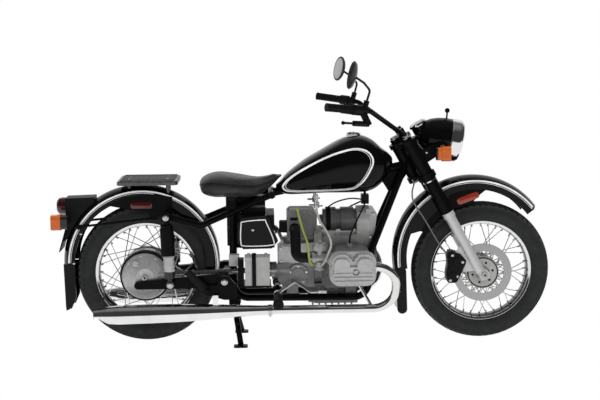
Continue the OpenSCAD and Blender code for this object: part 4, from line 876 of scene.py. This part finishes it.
def swell(obj, cell, cap):
    """Pads a closed cover with cloth under pressure, each point moved no further than the cap."""
    remesh = obj.modifiers.new("cells", "REMESH")
    remesh.mode = "VOXEL"
    remesh.voxel_size = cell
    bpy.context.view_layer.objects.active = obj
    bpy.ops.object.modifier_apply(modifier=remesh.name)
    rest = [v.co.copy() for v in obj.data.vertices]
    cloth = obj.modifiers.new("padding", "CLOTH")
    cloth.settings.use_pressure = True
    cloth.settings.uniform_pressure_force = PRESSURE
    cloth.settings.effector_weights.gravity = 0.0
    cloth.settings.tension_stiffness = STIFFNESS
    cloth.settings.compression_stiffness = STIFFNESS
    scene = bpy.context.scene
    for f in range(1, CLOTH_FRAMES + 1):
        scene.frame_set(f)
    made = obj.evaluated_get(bpy.context.evaluated_depsgraph_get()).to_mesh()
    moved = [v.co.copy() for v in made.vertices]
    obj.evaluated_get(bpy.context.evaluated_depsgraph_get()).to_mesh_clear()
    obj.modifiers.remove(cloth)
    scene.frame_set(1)
    for v, a, b in zip(obj.data.vertices, rest, moved):
        step = b - a
        v.co = a + (step if step.length < cap else step.normalized() * cap)


class MOTORCYCLE_OT_saddle(bpy.types.Operator):
    """Padded leather saddle with a welted seam and stitches"""
    bl_idname = "motorcycle.saddle"
    bl_label = "Saddle"

    def execute(self, context):
        sizes = context.scene.motorcycle_sizes
        low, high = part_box("saddle")
        half = (high.y - low.y) / 2
        stations = [(low.x + x / 1000, b / 1000, t / 1000, w * half) for x, b, t, w in SADDLE_STATIONS]
        curve = smooth(stations, 6)
        rings = [section_ring(s, 64, SADDLE_ROUND, SADDLE_SHRINK, SADDLE_FOOT_ROUND) for s in curve]
        saddle = piece("saddle_cover", [loft(rings)], "saddle_leather", "chassis", 80.0)
        swell(saddle, sizes.saddle_voxel, sizes.saddle_swell)
        mesh = saddle.data
        bm = bmesh.new()
        bm.from_mesh(mesh)
        bmesh.ops.smooth_vert(bm, verts=bm.verts, factor=0.5, use_axis_x=True, use_axis_y=True, use_axis_z=True)
        bm.to_mesh(mesh)
        bm.free()
        sub = saddle.modifiers.new("soften", "SUBSURF")
        sub.levels = sub.render_levels = 1
        bpy.ops.object.modifier_apply(modifier=sub.name)
        finish_mesh(mesh, 80.0)
        mesh.materials.clear()
        mesh.materials.append(FINISH["saddle_leather"])
        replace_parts(saddle, "saddle")
        surface = BVHTree.FromObject(saddle, bpy.context.evaluated_depsgraph_get())
        out, rise = (bulge(turn(SEAM_ANGLE), SADDLE_ROUND) for turn in (math.cos, math.sin))
        path = []
        for side, run in ((1, curve), (-1, curve[::-1])):
            for s in run:
                mid, tall = (s[1] + s[2]) / 2, (s[2] - s[1]) / 2
                hit, normal, _, _ = surface.find_nearest(Vector((s[0], side * s[3] * out, mid + tall * rise)))
                path.append(hit + normal * 0.0005)
        piece("saddle_welt", [tube(path, 0.0023, 8, True)], "saddle_leather", "chassis", 60.0)
        places = []
        gone = 0.0
        for i, here in enumerate(path):
            after = path[(i + 1) % len(path)]
            step = after - here
            while gone < step.length:
                at = here + step * (gone / step.length)
                hit, normal, _, _ = surface.find_nearest(at - Vector((0, 0, 0.006)))
                places.append((hit + normal * 0.0002, step.normalized(), 1.0))
                gone += sizes.stitch
            gone -= step.length
        set_on("saddle_stitches", places, [spindle(STITCH, 8, MILLI)], "strap_rubber", "chassis")
        return {"FINISHED"}


# Lining of a side cover, in metres ahead of the stand's axis and up
COVER_LINE = (
    (0.038, 0.490), (0.056, 0.472), (0.172, 0.474), (0.186, 0.494), (0.152, 0.580), (0.142, 0.590), (0.052, 0.583),
    (0.040, 0.568),
)


class MOTORCYCLE_OT_stripes(bpy.types.Operator):
    """Lining on both fenders and both side covers"""
    bl_idname = "motorcycle.stripes"
    bl_label = "Fender and cover lining"

    def execute(self, context):
        sizes = context.scene.motorcycle_sizes
        rear, front, cover = [], [], []
        for side in SIDES:
            y0, y1 = (side * y for y in FENDER_FACES)
            for centre, r, a0, a1, bands in (
                (REAR_ARCH + mm(12, 0, -3), 0.364, -4.0, 178.0, rear), (FRONT_ARCH, 0.3755, 40.0, 188.0, front),
            ):
                bands.append(arc_band(centre, r - 0.030, r - 0.030 + sizes.stripe, a0, a1, y0, y1))
                bands.append(arc_band(centre, r - 0.0355, r - 0.0355 + sizes.line, a0 + 0.3, a1 - 0.3, y0, y1))
                bands.append(arc_band(centre, r - 0.0355, r - 0.0295, a0 - 0.3, a0 + 0.3, y0, y1, 4))
            loop = smooth([(STAND_X + x, z) for x, z in COVER_LINE], 6, True)
            inner, outer = COVER_FACES
            rings = []
            for i, (x, z) in enumerate(loop):
                before, after = loop[i - 1], loop[(i + 1) % len(loop)]
                d = Vector((after[0] - before[0], after[1] - before[1])).normalized()
                ring = []
                for k, y in ((-1, inner), (1, inner), (1, outer), (-1, outer)):
                    w = sizes.stripe * 0.3 * k
                    ring.append(Vector((x - d.y * w, side * y, z + d.x * w)))
                rings.append(ring)
            cover.append(loft(rings, True))
        for name, bands, body in (
            ("rear_fender_lining", rear, "chassis"), ("front_fender_lining", front, "steering"),
            ("side_cover_lining", cover, "chassis"),
        ):
            piece(name, bands, "stripe_enamel", body)
        return {"FINISHED"}


# Rows of tread blocks: inner and outer edge in metres, start and end as shares of a step, and slant
TREAD_ROWS = ((0.0025, 0.0165, 0.0, 0.9, 1.2), (0.0195, 0.0455, 0.1, 0.82, 1.6))


def crown(y):
    """Radius of the tread at a distance from its middle."""
    return TYRE_R - CROWN_R + math.sqrt(CROWN_R ** 2 - y * y)


def tyre_profile(depth):
    """The tyre's section about its axle, as radius and width, closed through the bead."""
    across = [-0.045 + 0.09 * k / 18 for k in range(19)]
    turns = [math.radians(62 + (124.65 - 62) * k / 16) for k in range(17)]
    wall = [(TYRE_R - 0.054 + WALL_R * math.cos(a), WALL_R * math.sin(a)) for a in turns]
    wall.append((BEAD_R, 0.033))
    return [(crown(y) - depth, y) for y in across] + wall + [(r, -y) for r, y in reversed(wall)]


def tread_block(y0, y1, a0, a1, slant, depth):
    """A block of the tread on top of the tyre, between two planes of Y and two angles, leaning with Y."""
    rings = []
    steps = 4
    for i in range(steps + 1):
        y = y0 + (y1 - y0) * i / steps
        top = crown(y)
        foot = top - depth - 0.002
        ring = []
        for a, r, inset in ((a0, foot, 0), (a1, foot, 0), (a1, top, -1), (a0, top, 1)):
            t = a + slant * abs(y) + inset * 0.0035
            ring.append(Vector((r * math.sin(t), y, r * math.cos(t))))
        rings.append(ring)
    return loft(rings)


class MOTORCYCLE_OT_tyres(bpy.types.Operator):
    """Road tyres with blocks cut by grooves"""
    bl_idname = "motorcycle.tyres"
    bl_label = "Tyres"

    def execute(self, context):
        sizes = context.scene.motorcycle_sizes
        for node, axle, finish, body in (
            ("front_tyre", FRONT_AXLE, "front_tyre_rubber", "front_wheel_set"),
            ("rear_tyre", REAR_AXLE, "rear_tyre_rubber", "rear_wheel_set"),
        ):
            section = turned(tyre_profile(sizes.tread_depth), axle, ACROSS, 128, True)
            carcass = piece(node + "_carcass", [section], finish, body, 40.0)
            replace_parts(carcass, node)
            step = 2 * math.pi / sizes.tread_count
            parts = []
            for side, shift in ((-1, 0.0), (1, 0.5 * step)):
                for y0, y1, start, end, slant in TREAD_ROWS:
                    a0, a1 = shift + start * step, shift + step * end
                    parts.append(tread_block(side * y0, side * y1, a0, a1, slant, sizes.tread_depth))
            grown(node + "_tread", "axle", bpy.data.meshes.new(node + "_seed"), {
                "Shape": bare_shape(node + "_block", parts), "Count": sizes.tread_count, "First": 0.0, "Step": step,
                "Axle": tuple(axle), "Material": FINISH[finish],
            }, body, 30.0)
        return {"FINISHED"}


class MOTORCYCLE_OT_wheel_trim(bpy.types.Operator):
    """Spoke nipples in both rims"""
    bl_idname = "motorcycle.wheel_trim"
    bl_label = "Wheel trim"

    def execute(self, context):
        for name, axle, body in (
            ("front_nipples", FRONT_AXLE, "front_wheel_set"), ("rear_nipples", REAR_AXLE, "rear_wheel_set"),
        ):
            places = []
            for i in range(36):
                a = math.radians(10 * i)
                out = Vector((math.cos(a), 0, math.sin(a)))
                side = 1 if i % 2 == 0 else -1
                places.append((axle + out * 0.2165 + Vector((0, side * 0.007, 0)), -out, 1.0))
            set_on(name, places, [spindle(NIPPLE, 8, MILLI)], "bolt_steel", body)
        return {"FINISHED"}


class MOTORCYCLE_OT_fasteners(bpy.types.Operator):
    """Bolts and screws, each on the solid that it holds"""
    bl_idname = "motorcycle.fasteners"
    bl_label = "Fasteners"

    def execute(self, context):
        b = context.scene.motorcycle_sizes.bolt
        engine, rear, stand = (x * 1000 for x in (ENGINE_X, REAR_AXLE.x, STAND_X))
        gear = engine - 306
        right, left = (0, 1, 0), (0, -1, 0)

        def flat(spots):
            return [mm(x, 0, z) for x, z in spots]

        def across(nodes, spots, size):
            return seats(nodes, flat(spots), right, size) + seats(nodes, flat(spots), left, size)

        block = [(engine + 110, 387), (engine + 132, 598), (engine + 72, 602), (engine + 120, 490)]
        hexes = across(("engine_block",), block, b)
        turns = [math.radians(18 + 72 * i) for i in range(5)]
        ring = [(gear + 92 + 38 * math.cos(a), 330 + 38 * math.sin(a)) for a in turns]
        corners = [(gear + 52 + i * 37, 420 + j * 30) for i in SIDES for j in SIDES]
        cover = [(gear + 70 + i * 48, 368 + j * 56) for i in SIDES for j in (-1, 0, 1)]
        for spots, way, k in ((ring, right, 0.8), (corners, right, 0.75), (cover, left, 0.8)):
            hexes += seats(("gearbox",), flat(spots), way, b * k)
        for nodes, spot, k in (
            (("swingarm", "frame"), (rear + 360, 318), 1.7), (("shock_bodies", "swingarm"), (rear + 118, 309), 1.6),
            (("shock_covers", "frame"), (rear + 106, 615), 1.6), (("frame", "centre_stand"), (stand, 178), 1.5),
        ):
            hexes += across(nodes, [spot], b * k)
        bolts("chassis_bolts", hexes, "chassis")
        domes = across(("rear_fender", "fender_brackets"), [(rear - 289, 527), (rear - 325, 391)], b)
        domes += across(("side_covers",), [(stand + 92, 545)], b * 1.2)
        down = [mm(rear + 20 + i * 86, j * 40, 768) for i in SIDES for j in SIDES]
        domes += seats(("luggage_rack",), down, (0, 0, -1), b * 1.1)
        bolts("chassis_screws", domes, "chassis", "dome")
        lugs = ((668, 414), (715, 382), (660, 298), (690, 316))
        front = [(mm(x, CALIPER_FACE_Y, z), Vector((0, -1, 0)), b * 0.8) for x, z in lugs]
        legs = [on_steer(45, side * LEG_Y, 720) for side in SIDES]
        front += seats(("fork_yokes", "fork_uppers"), legs, -STEER_UP, b * 2.4)
        front += seats(("fork_yokes",), [on_steer(0, 0, 720)], -STEER_UP, b * 2.6)
        bolts("steering_bolts", front, "steering")
        bright = []
        for way in (right, left):
            for spot, k in ((on_steer(168, 0, 611), 1.5), (on_steer(92, 0, 622), 0.9)):
                bright += seats(("fork_uppers", "headlamp_shell", "fork_yokes"), [spot], way, b * k)
        bolts("lamp_bolts", bright, "steering", "dome", "bright_chrome")
        return {"FINISHED"}


class MOTORCYCLE_OT_instruments(bpy.types.Operator):
    """Speedometer dial with its ticks, needle and glass, and the mirrors' glasses"""
    bl_idname = "motorcycle.instruments"
    bl_label = "Instruments"

    def execute(self, context):
        at, axis = on_steer(126, 0, 733), Vector((-0.5, 0, 0.8660254))
        side, up, axis = frame_for(axis)

        def disc(r, h0, h1):
            return turned([(0.0, h0), (r, h0), (r, h1), (r * 0.5, h1), (0.0, h1)], at, axis, 64)

        def bar(angle, r0, r1, w0, w1, h):
            d = side * math.cos(angle) + up * math.sin(angle)
            t = axis.cross(d)
            edges = ((-1, h), (1, h), (1, h + 0.0006), (-1, h + 0.0006))
            ends = ((r0, w0), (r1, w1))
            return loft([[at + d * r + t * (k * w) + axis * z for k, z in edges] for r, w in ends])

        piece("speedometer_dial", [disc(0.0348, 0.0101, 0.0106)], "dial_black", "steering")
        marks = []
        for i in range(29):
            a = math.radians(-40 + 260 * i / 28)
            start, half = (0.0245, 0.0007) if i % 4 == 0 else (0.0285, 0.0004)
            marks.append(bar(a, start, 0.0325, half, half, 0.0106))
        marks.append(bar(math.radians(220), -0.007, 0.026, 0.0012, 0.0004, 0.0114))
        piece("speedometer_marks", marks, "dial_white", "steering")
        hub = [(0.0, 0.0106), (0.004, 0.0106), (0.004, 0.0124), (0.003, 0.013), (0.0, 0.013)]
        piece("speedometer_hub", [turned(hub, at, axis, 24)], "dial_black", "steering")
        piece("speedometer_glass", [disc(0.0355, 0.0131, 0.0138)], "lamp_glass", "steering")
        dome = [
            (0.0, 0.0058), (0.0505, 0.0058), (0.0505, 0.0062), (0.046, 0.0066), (0.03, 0.0072), (0.012, 0.0075),
            (0.0, 0.0075),
        ]
        glasses = []
        for s in SIDES:
            face = Vector((-0.9301, -s * 0.3022, 0.2079))
            glasses.append(turned(dome, mm(190.4, s * 380, 1243.2), face, 64))
        piece("mirror_glasses", glasses, "mirror_glass", "steering")
        return {"FINISHED"}


# Outlines of the brake caliper and of its bridge over the disc, in metres
CALIPER = (
    (0.646, 0.292), (0.654, 0.284), (0.684, 0.284), (0.694, 0.292), (0.708, 0.322), (0.73, 0.372), (0.732, 0.388),
    (0.707, 0.417), (0.668, 0.43), (0.656, 0.428), (0.647, 0.405), (0.651, 0.372), (0.644, 0.32),
)
CALIPER_BRIDGE = (
    (0.646, 0.292), (0.654, 0.284), (0.679, 0.284), (0.674, 0.321), (0.686, 0.378), (0.705, 0.417), (0.668, 0.43),
    (0.656, 0.428), (0.647, 0.405), (0.651, 0.372), (0.644, 0.32),
)

# Rim and middle of the brake disc: inner, broken and outer radius, half thickness, and that at the broken edge
DISC_RINGS = ((0.0985, 0.1344, 0.135, 0.0025, 0.0019), (0.031, 0.0745, 0.0752, 0.004, 0.0033))

HOSE_GROWTH = 0.0012
REFLECTOR_TURN = [2 * math.pi * (i + 0.5) / 24 for i in range(24)]


class MOTORCYCLE_OT_trim(bpy.types.Operator):
    """Fork rings, clamps, hub plate, brake disc and caliper, hoses, strap, strips, grip ribs and reflectors"""
    bl_idname = "motorcycle.trim"
    bl_label = "Trim"

    def execute(self, context):
        self.fork()
        self.silencers()
        self.hub()
        self.disc()
        self.caliper()
        self.clamps()
        self.engine()
        self.hoses()
        self.strap()
        self.strips()
        self.ribs()
        self.reflectors()
        self.braces()
        return {"FINISHED"}

    def fork(self):
        """Bright rings under the fork's covers, and the seals of its sliders."""
        for name, size, up, finish, slot in (
            ("fork_rings", (0.0312, 0.006, 0.0016), 504, "bright_chrome", "chrome"),
            ("fork_seals", (0.0232, 0.012, 0.0034), 340, "strap_rubber", "rubber"),
        ):
            bands = [hoop(*size, on_steer(45, side * LEG_Y, up), STEER_UP) for side in SIDES]
            piece(name, bands, finish, "steering")

    def silencers(self):
        """Clamps with their bolts at the front of both silencers."""
        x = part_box("silencers")[1].x - 0.014
        clamps = []
        for y in (-0.19, 0.19):
            clamps.append(hoop(0.0219, 0.018, 0.0026, (x, y, 0.19), ALONG))
            clamps.append(tube([(x, y - 0.012, 0.164), (x, y + 0.012, 0.164)], 0.004, 10))
        piece("silencer_clamps", clamps, "bolt_steel", "chassis")

    def hub(self):
        """Bright plate over the front disc's middle, with dark discs on it as painted shade in its holes, and a dark
        ring round its edge as painted shade in the gap to the hub.
        """
        face = FRONT_AXLE + mm(0, HUB_FACE_Y, 0)
        plate = [(0.0315, 0.0), (0.0315, -0.0016), (0.036, -0.0022), (0.0655, -0.0022), (0.0665, 0.0)]
        shape = turned(plate, face, ACROSS, 72, True)
        piece("hub_plate", [shape], "hub_alloy", "front_wheel_set")
        # Painted shade: thin dark discs stand for the shade in the plate's holes, and a dark ring for the shade in the
        # gap round its edge.
        hole = [(0.0, 0.0), (0.0055, 0.0), (0.0055, -0.0006), (0.0, -0.0006)]
        dark = [hoop(0.067, 0.0026, 0.0045, face + mm(0, -1, 0), ACROSS, 72)]
        for i in range(6):
            a = math.radians(60 * i + 12)
            at = face + Vector((0.047 * math.cos(a), -0.0021, 0.047 * math.sin(a)))
            dark.append(turned(hole, at, ACROSS, 20))
        piece("hub_holes", dark, "strap_rubber", "front_wheel_set")

    def disc(self):
        """Brake disc on a carrier of crossed arms."""
        at = FRONT_AXLE + mm(0, DISC_Y, 0)
        parts = []
        for inner, edge, outer, half, flat in DISC_RINGS:
            profile = [(inner, -half), (edge, -half), (outer, -flat), (outer, flat), (edge, half), (inner, half)]
            parts.append(turned(profile, at, ACROSS, 96, True))
        for i in range(18):
            for side in SIDES:
                a, b = math.radians(20 * i), math.radians(20 * i + 7.5 * side)
                ends = [at + Vector((math.cos(t), 0, math.sin(t))) * r for t, r in ((b, 0.0735), (a, 0.1005))]
                parts.append(tube(ends, 0.0023, 8))
        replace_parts(piece("brake_disc", parts, "disc_steel", "front_wheel_set"), "front_disc")

    def caliper(self):
        """Upright brake caliper over the rear edge of the disc."""
        rings = []
        for y, k in ((-0.0798, 1.0), (-0.121, 1.0), (-0.1255, 0.91)):
            rings.append([Vector((0.684 + k * (x - 0.684), y, 0.358 + k * (z - 0.358))) for x, z in CALIPER])
        parts = [loft(rings), slab(CALIPER, -0.0642, -0.0525), slab(CALIPER_BRIDGE, -0.0798, -0.0642)]
        cap = [(0.0, 0.0), (0.018, 0.0), (0.018, -0.004), (0.0155, -0.006), (0.0, -0.006)]
        for x, z in ((690, 384), (671, 318)):
            parts.append(turned(cap, mm(x, CALIPER_FACE_Y, z), ACROSS, 32))
        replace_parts(piece("caliper_body", parts, "caliper_black", "steering"), "brake_caliper")

    def clamps(self):
        """Bright clamps on the cuffs of both intake hoses."""
        size, engine = (0.0267, 0.007, 0.0012), ENGINE_X * 1000
        parts = []
        for s, x in ((-1, engine - 164), (1, engine - 196)):
            parts.append(hoop(*size, mm(x, s * EXHAUST_Y, 440), ALONG))
            parts.append(hoop(*size, mm(engine - 228, s * 92, 540), ACROSS))
        piece("hose_clamps", parts, "bolt_steel", "chassis")

    def engine(self):
        """Dark ring of the final drive, band of the alternator, dark strips on the filter housing as painted shade in
        its slots, and the box behind it.
        """
        slot = [(-0.068, 0.577), (-0.034, 0.577), (-0.034, 0.591), (-0.068, 0.591)]
        box = [(-0.118, 0.52), (-0.0818, 0.518), (-0.0818, 0.57), (-0.113, 0.57), (-0.118, 0.565)]
        dark = [
            hoop(0.1062, 0.016, 0.008, REAR_AXLE + mm(0, -94, 0), ACROSS, 72),
            hoop(0.0563, 0.021, 0.0012, mm(ENGINE_X * 1000 - 72, 0, 568), ALONG, 64),
            # Painted shade: thin dark slabs on both sides of the filter housing stand for the shade in its slots.
            *(slab(slot, s * 0.0821, s * 0.0832) for s in SIDES),
            slab(box, -0.066, -0.022),
        ]
        piece("dark_bands", dark, "strap_rubber", "chassis")

    def hoses(self):
        """Fuel and breather hoses, thicker than their solids."""
        mesh = frame["nodes"]["fuel_hoses"].data
        thick = [v.co + v.normal * HOSE_GROWTH for v in mesh.vertices], [list(p.vertices) for p in mesh.polygons]
        hoses = piece("thick_hoses", [thick], "fuel_hose", "chassis")
        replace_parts(hoses, "fuel_hoses")

    def strap(self):
        """Rubber strap over the battery, down to its tray."""
        x0, x1 = STAND_X + 0.087, STAND_X + 0.105
        path = [mm(0, y, z) for y, z in (
            (-190.4, 300), (-190.8, 330), (-190.8, 428), (-188, 434), (-180, 436), (-118, 436), (-110.4, 432),
        )]
        edges = ((x0, -1), (x1, -1), (x1, 1), (x0, 1))
        rings = []
        for i, p in enumerate(path):
            t = (path[min(i + 1, len(path) - 1)] - path[max(i - 1, 0)]).normalized()
            out = Vector((0, -t.z, t.y))
            rings.append([Vector((x, p.y, p.z)) + out * k * 0.0012 for x, k in edges])
        piece("battery_strap", [loft(rings)], "strap_rubber", "chassis")

    def strips(self):
        """Rubber strips on the rack's plate."""
        low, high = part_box("luggage_rack")
        section = (
            (-0.0075, 0.0), (0.0075, 0.0), (0.0075, 0.0024), (0.0052, 0.0038), (-0.0052, 0.0038), (-0.0075, 0.0024),
        )
        ends = ((low.x + 0.014, 0.6), (low.x + 0.018, 1.0), (high.x - 0.018, 1.0), (high.x - 0.014, 0.6))
        parts = []
        for y in (-0.099, -0.06, -0.036, -0.012, 0.012, 0.036, 0.06, 0.099):
            parts.append(loft([[Vector((x, y + c * k, high.z + h * k)) for c, h in section] for x, k in ends]))
        piece("rack_strips", parts, "strip_rubber", "chassis")

    def ribs(self):
        """Rings moulded around both grips."""
        places = []
        for s in SIDES:
            end = mm(80.0, s * 388, 1111.0)
            way = (end - mm(275.0, s * 300, 1086.0)).normalized()
            places += [(end - way * (0.014 + 0.0075 * i), way, 1.0) for i in range(14)]
        rib = hoop(0.0158, 0.0034, 0.0019, (0, 0, 0), (0, 0, 1), 28)
        set_on("grip_ribs", places, [rib], "grip_rubber", "steering")

    def reflectors(self):
        """Red reflectors under the rear fender's edge."""
        x = REAR_AXLE.x - 0.012
        parts = []
        for s in SIDES:
            rings = []
            for y, k in ((0.0731, 1.0), (0.0758, 1.0), (0.0772, 0.9)):
                ring = []
                for a in REFLECTOR_TURN:
                    end = 0.036 * (1 if math.cos(a) > 0 else -1) + 0.012 * math.cos(a)
                    ring.append(Vector((x + k * end, s * y, 0.654 + k * 0.0145 * bulge(math.sin(a), 4))))
                rings.append(ring)
            parts.append(loft(rings))
        piece("rear_reflectors", parts, "reflector_red", "chassis")

    def braces(self):
        """Dark side plates of the front fender, with its amber reflectors."""
        along, rise = Vector((0.94, 0, 0.342)), Vector((-0.342, 0, 0.94))
        top, inner, outer = 0.3145, 0.0679, 0.0694
        braces, reflectors = [], []
        for s in SIDES:
            rings = []
            for i in range(38):
                a = 154 - 2 * i
                low = 0.24 + 0.074 * max(0.0, (94 - a) / 14)
                d = Vector((math.cos(math.radians(a)), 0, math.sin(math.radians(a))))
                corners = ((low, inner), (top, inner), (top, outer), (low, outer))
                rings.append([FRONT_ARCH + d * r + Vector((0, s * y, 0)) for r, y in corners])
            braces.append(loft(rings))
            rings = []
            for y, k in ((0.0692, 1.0), (0.0722, 1.0), (0.0734, 0.88)):
                at = mm(745, s * y * 1000, 667)
                rings.append([
                    at + along * (k * 0.052 * bulge(math.cos(a), 5)) + rise * (k * 0.0155 * bulge(math.sin(a), 5))
                    for a in REFLECTOR_TURN
                ])
            reflectors.append(loft(rings))
        piece("front_fender_braces", braces, "frame_enamel", "steering")
        piece("front_reflectors", reflectors, "reflector_amber", "steering")


class MOTORCYCLE_OT_stage(bpy.types.Operator):
    """Pale floor, soft light, white background and the camera"""
    bl_idname = "motorcycle.stage"
    bl_label = "Stage"

    def execute(self, context):
        scene = context.scene
        scene.view_settings.view_transform = "Standard"
        self.floor()
        self.world(scene)
        self.lamp("key", (1.6, -3.6, 3.4), (0.0, 0.0, 0.6), 3.0, 2.0, 46.0)
        self.lamp("top", (-0.2, 0.2, 3.6), (0.0, 0.0, 0.5), 4.2, 1.6, 34.0)
        self.lamp("fill", (-2.6, 2.8, 2.2), (0.0, 0.0, 0.6), 2.5, 2.0, 22.0)
        self.camera(scene)
        return {"FINISHED"}

    def floor(self):
        bm = bmesh.new()
        bmesh.ops.create_circle(bm, cap_ends=True, segments=96, radius=30.0)
        mesh = bpy.data.meshes.new("floor")
        bm.to_mesh(mesh)
        bm.free()
        f = Finish("floor_paper", (0.92, 0.92, 0.92), 0.9, 0.0, Specular_IOR_Level=0.1)
        f.colour(f.mix(f.noise(3.0, 3.0), (0.9, 0.9, 0.9), (0.93, 0.93, 0.93)))
        blend = f.node("MixShader")
        out = next(n for n in f.tree.nodes if n.type == "OUTPUT_MATERIAL")
        f.feed(blend.inputs[0], f.node("LightPath").outputs["Is Camera Ray"])
        f.feed(blend.inputs[1], f.shader.outputs[0])
        f.feed(blend.inputs[2], f.node("Emission").outputs[0])
        f.feed(out.inputs["Surface"], blend.outputs[0])
        floor = new_object("floor", mesh, "floor_paper")
        floor.visible_glossy = False

    def world(self, scene):
        """White to the camera, even for soft light; mirrors see a dark room with a white floor and far wall."""
        scene.world = bpy.data.worlds.new("studio")
        scene.world.use_nodes = True
        sky = Nodes(scene.world.node_tree)

        def mixed(share, a, b):
            n = sky.node("Mix")
            for place, value in ((0, share), (2, a), (3, b)):
                sky.feed(n.inputs[place], value)
            return n.outputs[0]

        way = sky.node("SeparateXYZ", Vector=sky.node("TexCoord").outputs["Generated"])
        wall = sky.span(way.outputs["Y"], 0.3, 0.75, 0.045, 0.85, "SMOOTHSTEP")
        room = mixed(sky.span(way.outputs["Z"], 0.72, 0.98, blend="SMOOTHSTEP"), wall, 0.22)
        seen = mixed(sky.span(way.outputs["Z"], -0.16, -0.04, blend="SMOOTHSTEP"), 1.0, room)
        path = sky.node("LightPath")
        soft = mixed(path.outputs["Is Glossy Ray"], 0.62, seen)
        clear = sky.sum("MAXIMUM", path.outputs["Is Camera Ray"], path.outputs["Is Transmission Ray"])
        back = sky.tree.nodes["Background"]
        sky.feed(back.inputs["Color"], mixed(clear, soft, 1.0))
        back.inputs["Strength"].default_value = 1.0

    def lamp(self, name, place, target, wide, deep, power):
        light = bpy.data.lights.new(name, "AREA")
        light.shape = "RECTANGLE"
        light.size, light.size_y, light.energy = wide, deep, power
        obj = bpy.data.objects.new(name, light)
        obj.location = place
        obj.rotation_mode = "QUATERNION"
        obj.rotation_quaternion = (Vector(target) - Vector(place)).to_track_quat("-Z", "Y")
        obj.visible_glossy = False
        bpy.context.scene.collection.objects.link(obj)

    def camera(self, scene):
        data = bpy.data.cameras.new("camera")
        data.sensor_width = SENSOR_WIDTH
        data.lens = FOCAL_PIXELS / PHOTO_PIXELS * SENSOR_WIDTH
        obj = bpy.data.objects.new("camera", data)
        scene.collection.objects.link(obj)
        a, e, r = (math.radians(v) for v in CAMERA_ANGLES)
        back = Vector((math.sin(a) * math.cos(e), -math.cos(a) * math.cos(e), math.sin(e)))
        right = (-back).cross(Vector((0, 0, 1))).normalized()
        up = right.cross(-back)
        right, up = right * math.cos(r) + up * math.sin(r), up * math.cos(r) - right * math.sin(r)
        place = CAMERA_TARGET + back * CAMERA_DISTANCE
        obj.matrix_world = Matrix((
            (right.x, up.x, back.x, place.x), (right.y, up.y, back.y, place.y),
            (right.z, up.z, back.z, place.z), (0, 0, 0, 1),
        ))
        scene.camera = obj


OPERATORS = (
    MOTORCYCLE_OT_finishes, MOTORCYCLE_OT_stage, MOTORCYCLE_OT_tank, MOTORCYCLE_OT_saddle, MOTORCYCLE_OT_stripes,
    MOTORCYCLE_OT_tyres, MOTORCYCLE_OT_wheel_trim, MOTORCYCLE_OT_fasteners, MOTORCYCLE_OT_instruments,
    MOTORCYCLE_OT_trim,
)


class MOTORCYCLE_PT_panel(bpy.types.Panel):
    """Lists what dresses the motorcycle"""
    bl_label = "Motorcycle"
    bl_idname = "MOTORCYCLE_PT_panel"
    bl_space_type = "VIEW_3D"
    bl_region_type = "UI"
    bl_category = "Motorcycle"

    def draw(self, context):
        for group_of in (context.scene.motorcycle_sizes, context.scene.motorcycle_colours):
            for label in group_of.bl_rna.properties.keys():
                if label not in ("rna_type", "name"):
                    self.layout.prop(group_of, label)
        for kind in OPERATORS:
            self.layout.operator(kind.bl_idname)


CLASSES = (MotorcycleSizes, MotorcycleColours, *OPERATORS, MOTORCYCLE_PT_panel)


def register():
    for kind in CLASSES:
        bpy.utils.register_class(kind)
    bpy.types.Scene.motorcycle_sizes = PointerProperty(type=MotorcycleSizes)
    bpy.types.Scene.motorcycle_colours = PointerProperty(type=MotorcycleColours)


def unregister():
    del bpy.types.Scene.motorcycle_colours
    del bpy.types.Scene.motorcycle_sizes
    for kind in reversed(CLASSES):
        bpy.utils.unregister_class(kind)


def main():
    register()
    for kind in OPERATORS:
        family, name = kind.bl_idname.split(".")
        getattr(getattr(bpy.ops, family), name)()


if __name__ == "__main__":
    main()
